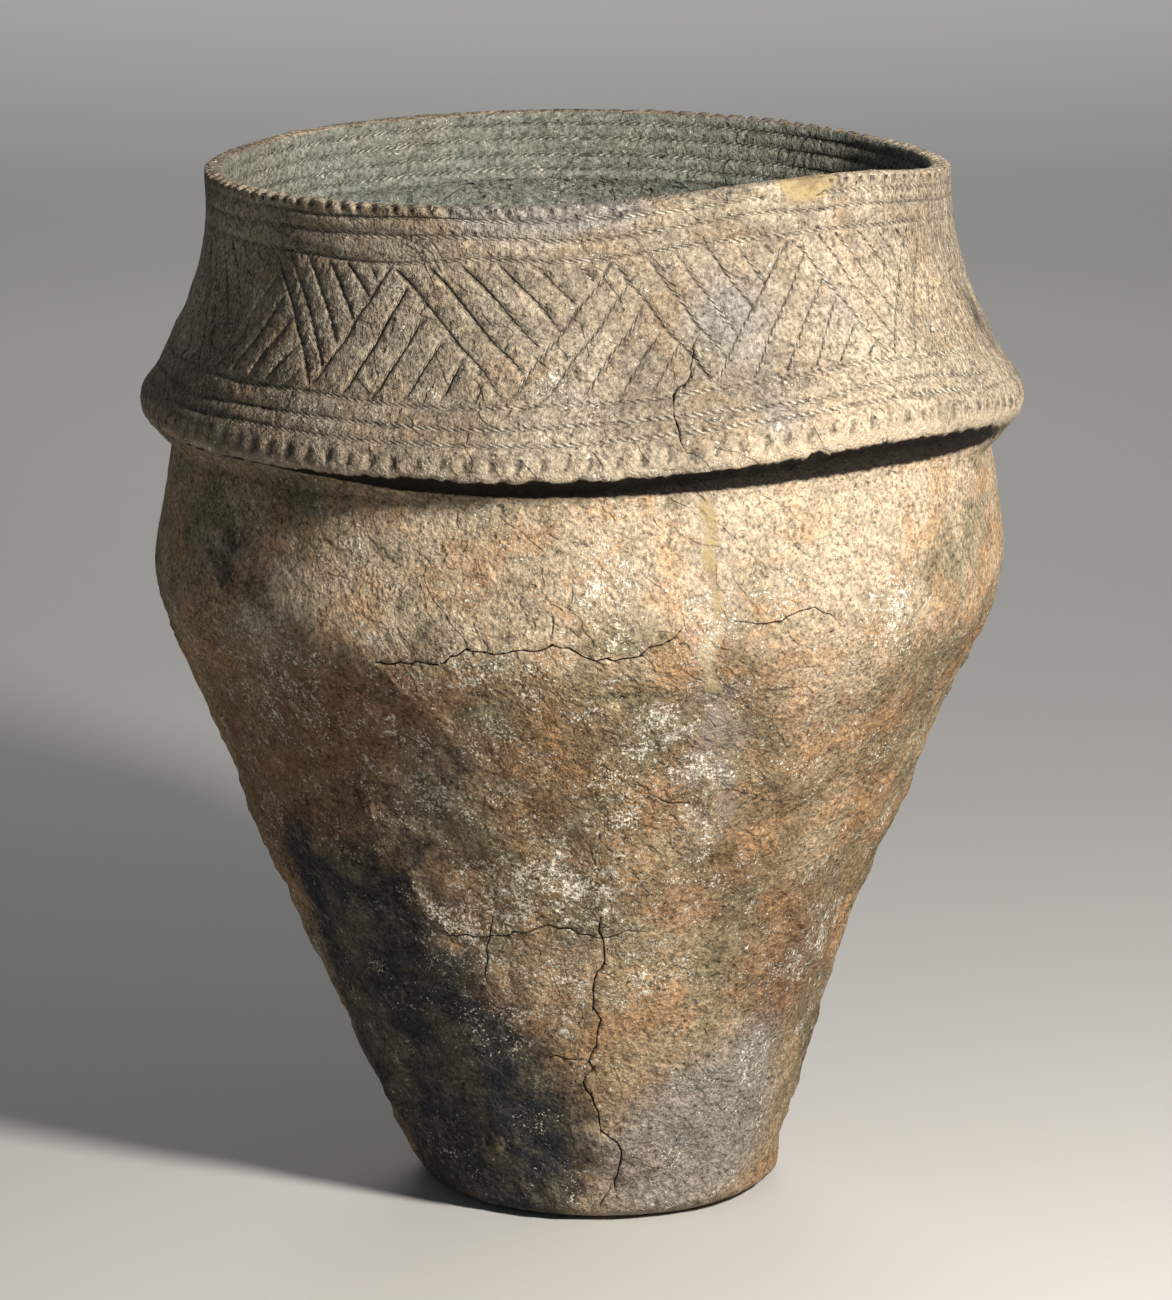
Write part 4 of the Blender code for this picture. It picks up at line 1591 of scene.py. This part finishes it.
def grooved(tree, surface, skin, twist):
    """Cord chalk, black cracks, and painted shade in cords, dents and cleft, with a highlight in the dents.
    """
    chalk = maths(tree, "MULTIPLY", twist["Height"], ramp(tree, surface.mottle, 0.44, 0.62, 0.0, 0.6))
    chalk = maths(tree, "MULTIPLY", chalk, ramp(tree, surface.dust, 0.35, 0.6))
    skin = blend(tree, chalk, skin, CREAM)
    # Painted shade in the dashes of the cords and strokes.
    skin = lay(tree, skin, "twist", twist["Shade"])
    skin = lay(tree, skin, "crack", ramp(tree, surface.mark["crack"], 0.15, 0.75))
    # Painted highlight on the dents' gentle sides, painted shade on their steep sides and in the strokes.
    skin = blend(tree, ramp(tree, surface.mark["dirt"], 0.0, -0.8, 0.0, 0.45), skin, CREAM_BUFF)
    skin = blend(tree, ramp(tree, surface.mark["dirt"], 0.0, 1.0, 0.0, 0.55), skin, DARK)
    # The cleft under the collar is painted near black as shade.
    cleft_shade = maths(tree, "MULTIPLY_ADD", centred(tree, surface.streaks), 0.7, surface.mark["shaded"])
    return blend(tree, ramp(tree, cleft_shade, 0.30, 0.62, 0.0, 0.97), skin, CLEFT_SHADE_BLACK)


print("colours:", len({colour for strength, colour in LAYERS.values()}), "in the layers")

# %% [markdown]
# Colour and bump together
#
# The bump carries what is too fine for the mesh. It adds up one height from the same masks, each with
# its depth, and the body is coarser than the smoothed collar. Flakes come from one more noise, whose
# narrow threshold makes the small steps where a skin came off.


# %% Build the fired clay
def bump_height(tree, surface, grit, rough, crust, chip, twist):
    flakes = ramp(tree, noise_at(tree, surface.grain, *FLAKES), 0.50, 0.54)
    coarser = maths(tree, "MULTIPLY_ADD", surface.body, 0.72, 0.28)
    height = maths(tree, "MULTIPLY", grit["Height"], GRIT_BUMP)
    for mask, share, depth in (
        (surface.mottle, coarser, MOTTLE_BUMP),
        (surface.streaks, coarser, STREAK_BUMP),
        (flakes, rough, FLAKE_BUMP),
        (surface.ribs, surface.mark["ribbed"], RIB_BUMP),
    ):
        height = maths(tree, "MULTIPLY_ADD", maths(tree, "MULTIPLY", mask, share), depth, height)
    for mask, depth in ((crust["Mask"], CRUST_BUMP), (chip, -CHIP_BUMP), (twist["Height"], TWIST_BUMP)):
        height = maths(tree, "MULTIPLY_ADD", mask, depth, height)
    return height


def build_fired_clay():
    material = bpy.data.materials.new("fired_clay")
    material.use_nodes = True
    tree = material.node_tree
    shader = tree.nodes["Principled BSDF"]
    surface = Surface(tree)
    rough = ramp(tree, surface.mark["roughened"], 0.0, 1.0, 0.6, 1.0)
    grit = use(tree, coarse_grit, {"Place": surface.place, "Scale": 1.0, "Roughness": rough})
    soot = broken(tree, surface.mark["soot"], surface.mottle, 1.3)
    soot = maths(tree, "MULTIPLY", soot, ramp(tree, surface.hue, 0.30, 0.56, 0.6, 1.0))
    arris_wear_and_light = maths(tree, "MULTIPLY", surface.mark["arris_wear_and_light"], ramp(tree, surface.mottle, 0.34, 0.56))
    density = crust_density(tree, surface, arris_wear_and_light, soot)
    crust = use(tree, lime_crust, {"Place": surface.place, "Density": density})
    chip = maths(tree, "MULTIPLY_ADD", surface.dust, 1.4, surface.mark["chipped"])
    chip = ramp(tree, chip, 1.05, 1.30)
    cord = {"Along": "cord_along", "Across": "cord_across", "Pressed": "cord"}
    cord = {socket: surface.mark[name] for socket, name in cord.items()}
    twist = use(tree, cord_twist, {**cord, "Pitch": CORD_PITCH})

    skin = raw_clay(tree, surface)
    skin = fire_clouds(tree, surface, skin, soot)
    skin = speckled(tree, surface, skin)
    skin = lay(tree, skin, "pits", grit["Pits"])
    skin = blend(tree, ramp(tree, surface.dust, 0.40, 0.32, 0.0, 0.55), skin, DARK)
    skin = mended(tree, surface, skin)
    # The worn pale arris, with painted light where its underside is in shade.
    skin = lay(tree, skin, "arris_wear_and_light", arris_wear_and_light)
    skin = lay(tree, skin, "film", crust["Film"])
    skin = lay(tree, skin, "crust", crust["Mask"])
    skin = lay(tree, skin, "chip", chip)
    skin = grooved(tree, surface, skin, twist)

    height = bump_height(tree, surface, grit, rough, crust, chip, twist)
    bump = add(tree, "ShaderNodeBump", {"Height": height, "Strength": 1.0, "Distance": 1.0})
    tree.links.new(bump.outputs["Normal"], shader.inputs["Normal"])
    tree.links.new(skin, shader.inputs["Base Color"])
    tree.links.new(ramp(tree, surface.mottle, 0.3, 0.7, 0.80, 1.0), shader.inputs["Roughness"])
    shader.inputs["Specular IOR Level"].default_value = SPECULAR
    return material


urn_mesh.materials.append(build_fired_clay())
print("finish:", urn_mesh.materials[0].name, "with", len(urn_mesh.materials[0].node_tree.nodes), "nodes")

# %% [markdown]
# The stage
#
# The urn is lit from the right and a little above, with only a weak fill from the left, so that every
# dent throws a shadow. A soft lamp straight behind lets the back be seen as well, and the front hides
# it. The floor is a wide pale disc, and a broad lamp over its far side keeps that pale. The plain view
# transform keeps the clay's colours as they were mixed, where the filmic one would wash the lit side
# out to grey.

# %% Build floor and lights
FLOOR_TONE = (0.50, 0.49, 0.475, 1.0)
FLOOR_RADIUS = 12.0
FLOOR_ROUGHNESS = 0.8
WORLD_TONE = (0.58, 0.62, 0.68, 1.0)
WORLD_STRENGTH = 0.15
AIM = Vector((0.0, 0.0, 0.27))
# Azimuth, elevation, distance, width, watts and colour of each lamp.
LAMPS = {
    "key": (38.0, 28.0, 1.15, 0.16, 27.0, (1.0, 0.95, 0.88)),
    "fill": (-70.0, 10.0, 2.6, 1.2, 2.0, (0.80, 0.90, 1.0)),
    "back": (180.0, 32.0, 2.2, 1.2, 7.0, (1.0, 0.98, 0.95)),
    "far_floor": (180.0, 25.0, 5.5, 3.5, 70.0, (1.0, 1.0, 1.0)),
}

floor_shape = bmesh.new()
bmesh.ops.create_circle(floor_shape, cap_ends=True, segments=96, radius=FLOOR_RADIUS)
floor_mesh = bpy.data.meshes.new("studio_floor")
floor_shape.to_mesh(floor_mesh)
floor_shape.free()
floor = bpy.data.objects.new("studio_floor", floor_mesh)
bpy.context.scene.collection.objects.link(floor)
floor_finish = bpy.data.materials.new("pale_floor")
floor_finish.use_nodes = True
floor_shader = floor_finish.node_tree.nodes["Principled BSDF"]
floor_shader.inputs["Base Color"].default_value = FLOOR_TONE
floor_shader.inputs["Roughness"].default_value = FLOOR_ROUGHNESS
floor_mesh.materials.append(floor_finish)
floor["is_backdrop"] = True


def area_light(name, azimuth, elevation, distance, size, power, colour):
    light = bpy.data.lights.new(name, "AREA")
    light.shape = "DISK"
    light.size = size
    light.energy = power
    light.color = colour
    lamp = bpy.data.objects.new(name, light)
    reach = polar(azimuth, cos(radians(elevation)), sin(radians(elevation)))
    lamp.location = AIM + reach * distance
    lamp.rotation_euler = (AIM - lamp.location).to_track_quat("-Z", "Y").to_euler()
    bpy.context.scene.collection.objects.link(lamp)
    return lamp


lamps = {name: area_light(name, *setting) for name, setting in LAMPS.items()}
lamps["far_floor"].rotation_euler = (0.0, 0.0, 0.0)
world = bpy.data.worlds.new("studio")
world.use_nodes = True
world.node_tree.nodes["Background"].inputs["Color"].default_value = WORLD_TONE
world.node_tree.nodes["Background"].inputs["Strength"].default_value = WORLD_STRENGTH
bpy.context.scene.world = world
bpy.context.scene.view_settings.view_transform = "Standard"
print("lights:", len(bpy.data.lights))

# %% [markdown]
# The sizes
#
# Both boxes, the solid's and the dressed pot's, are printed as plain numbers. The dressed pot must
# fill the solid's box and not outgrow it.

# %% Print the sizes
visual_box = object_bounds()
plain = {
    "cad": [[float(value) for value in corner] for corner in cad_box],
    "visual": [[float(value) for value in corner] for corner in visual_box],
}
print("solid box", plain["cad"])
print("dressed box", plain["visual"])
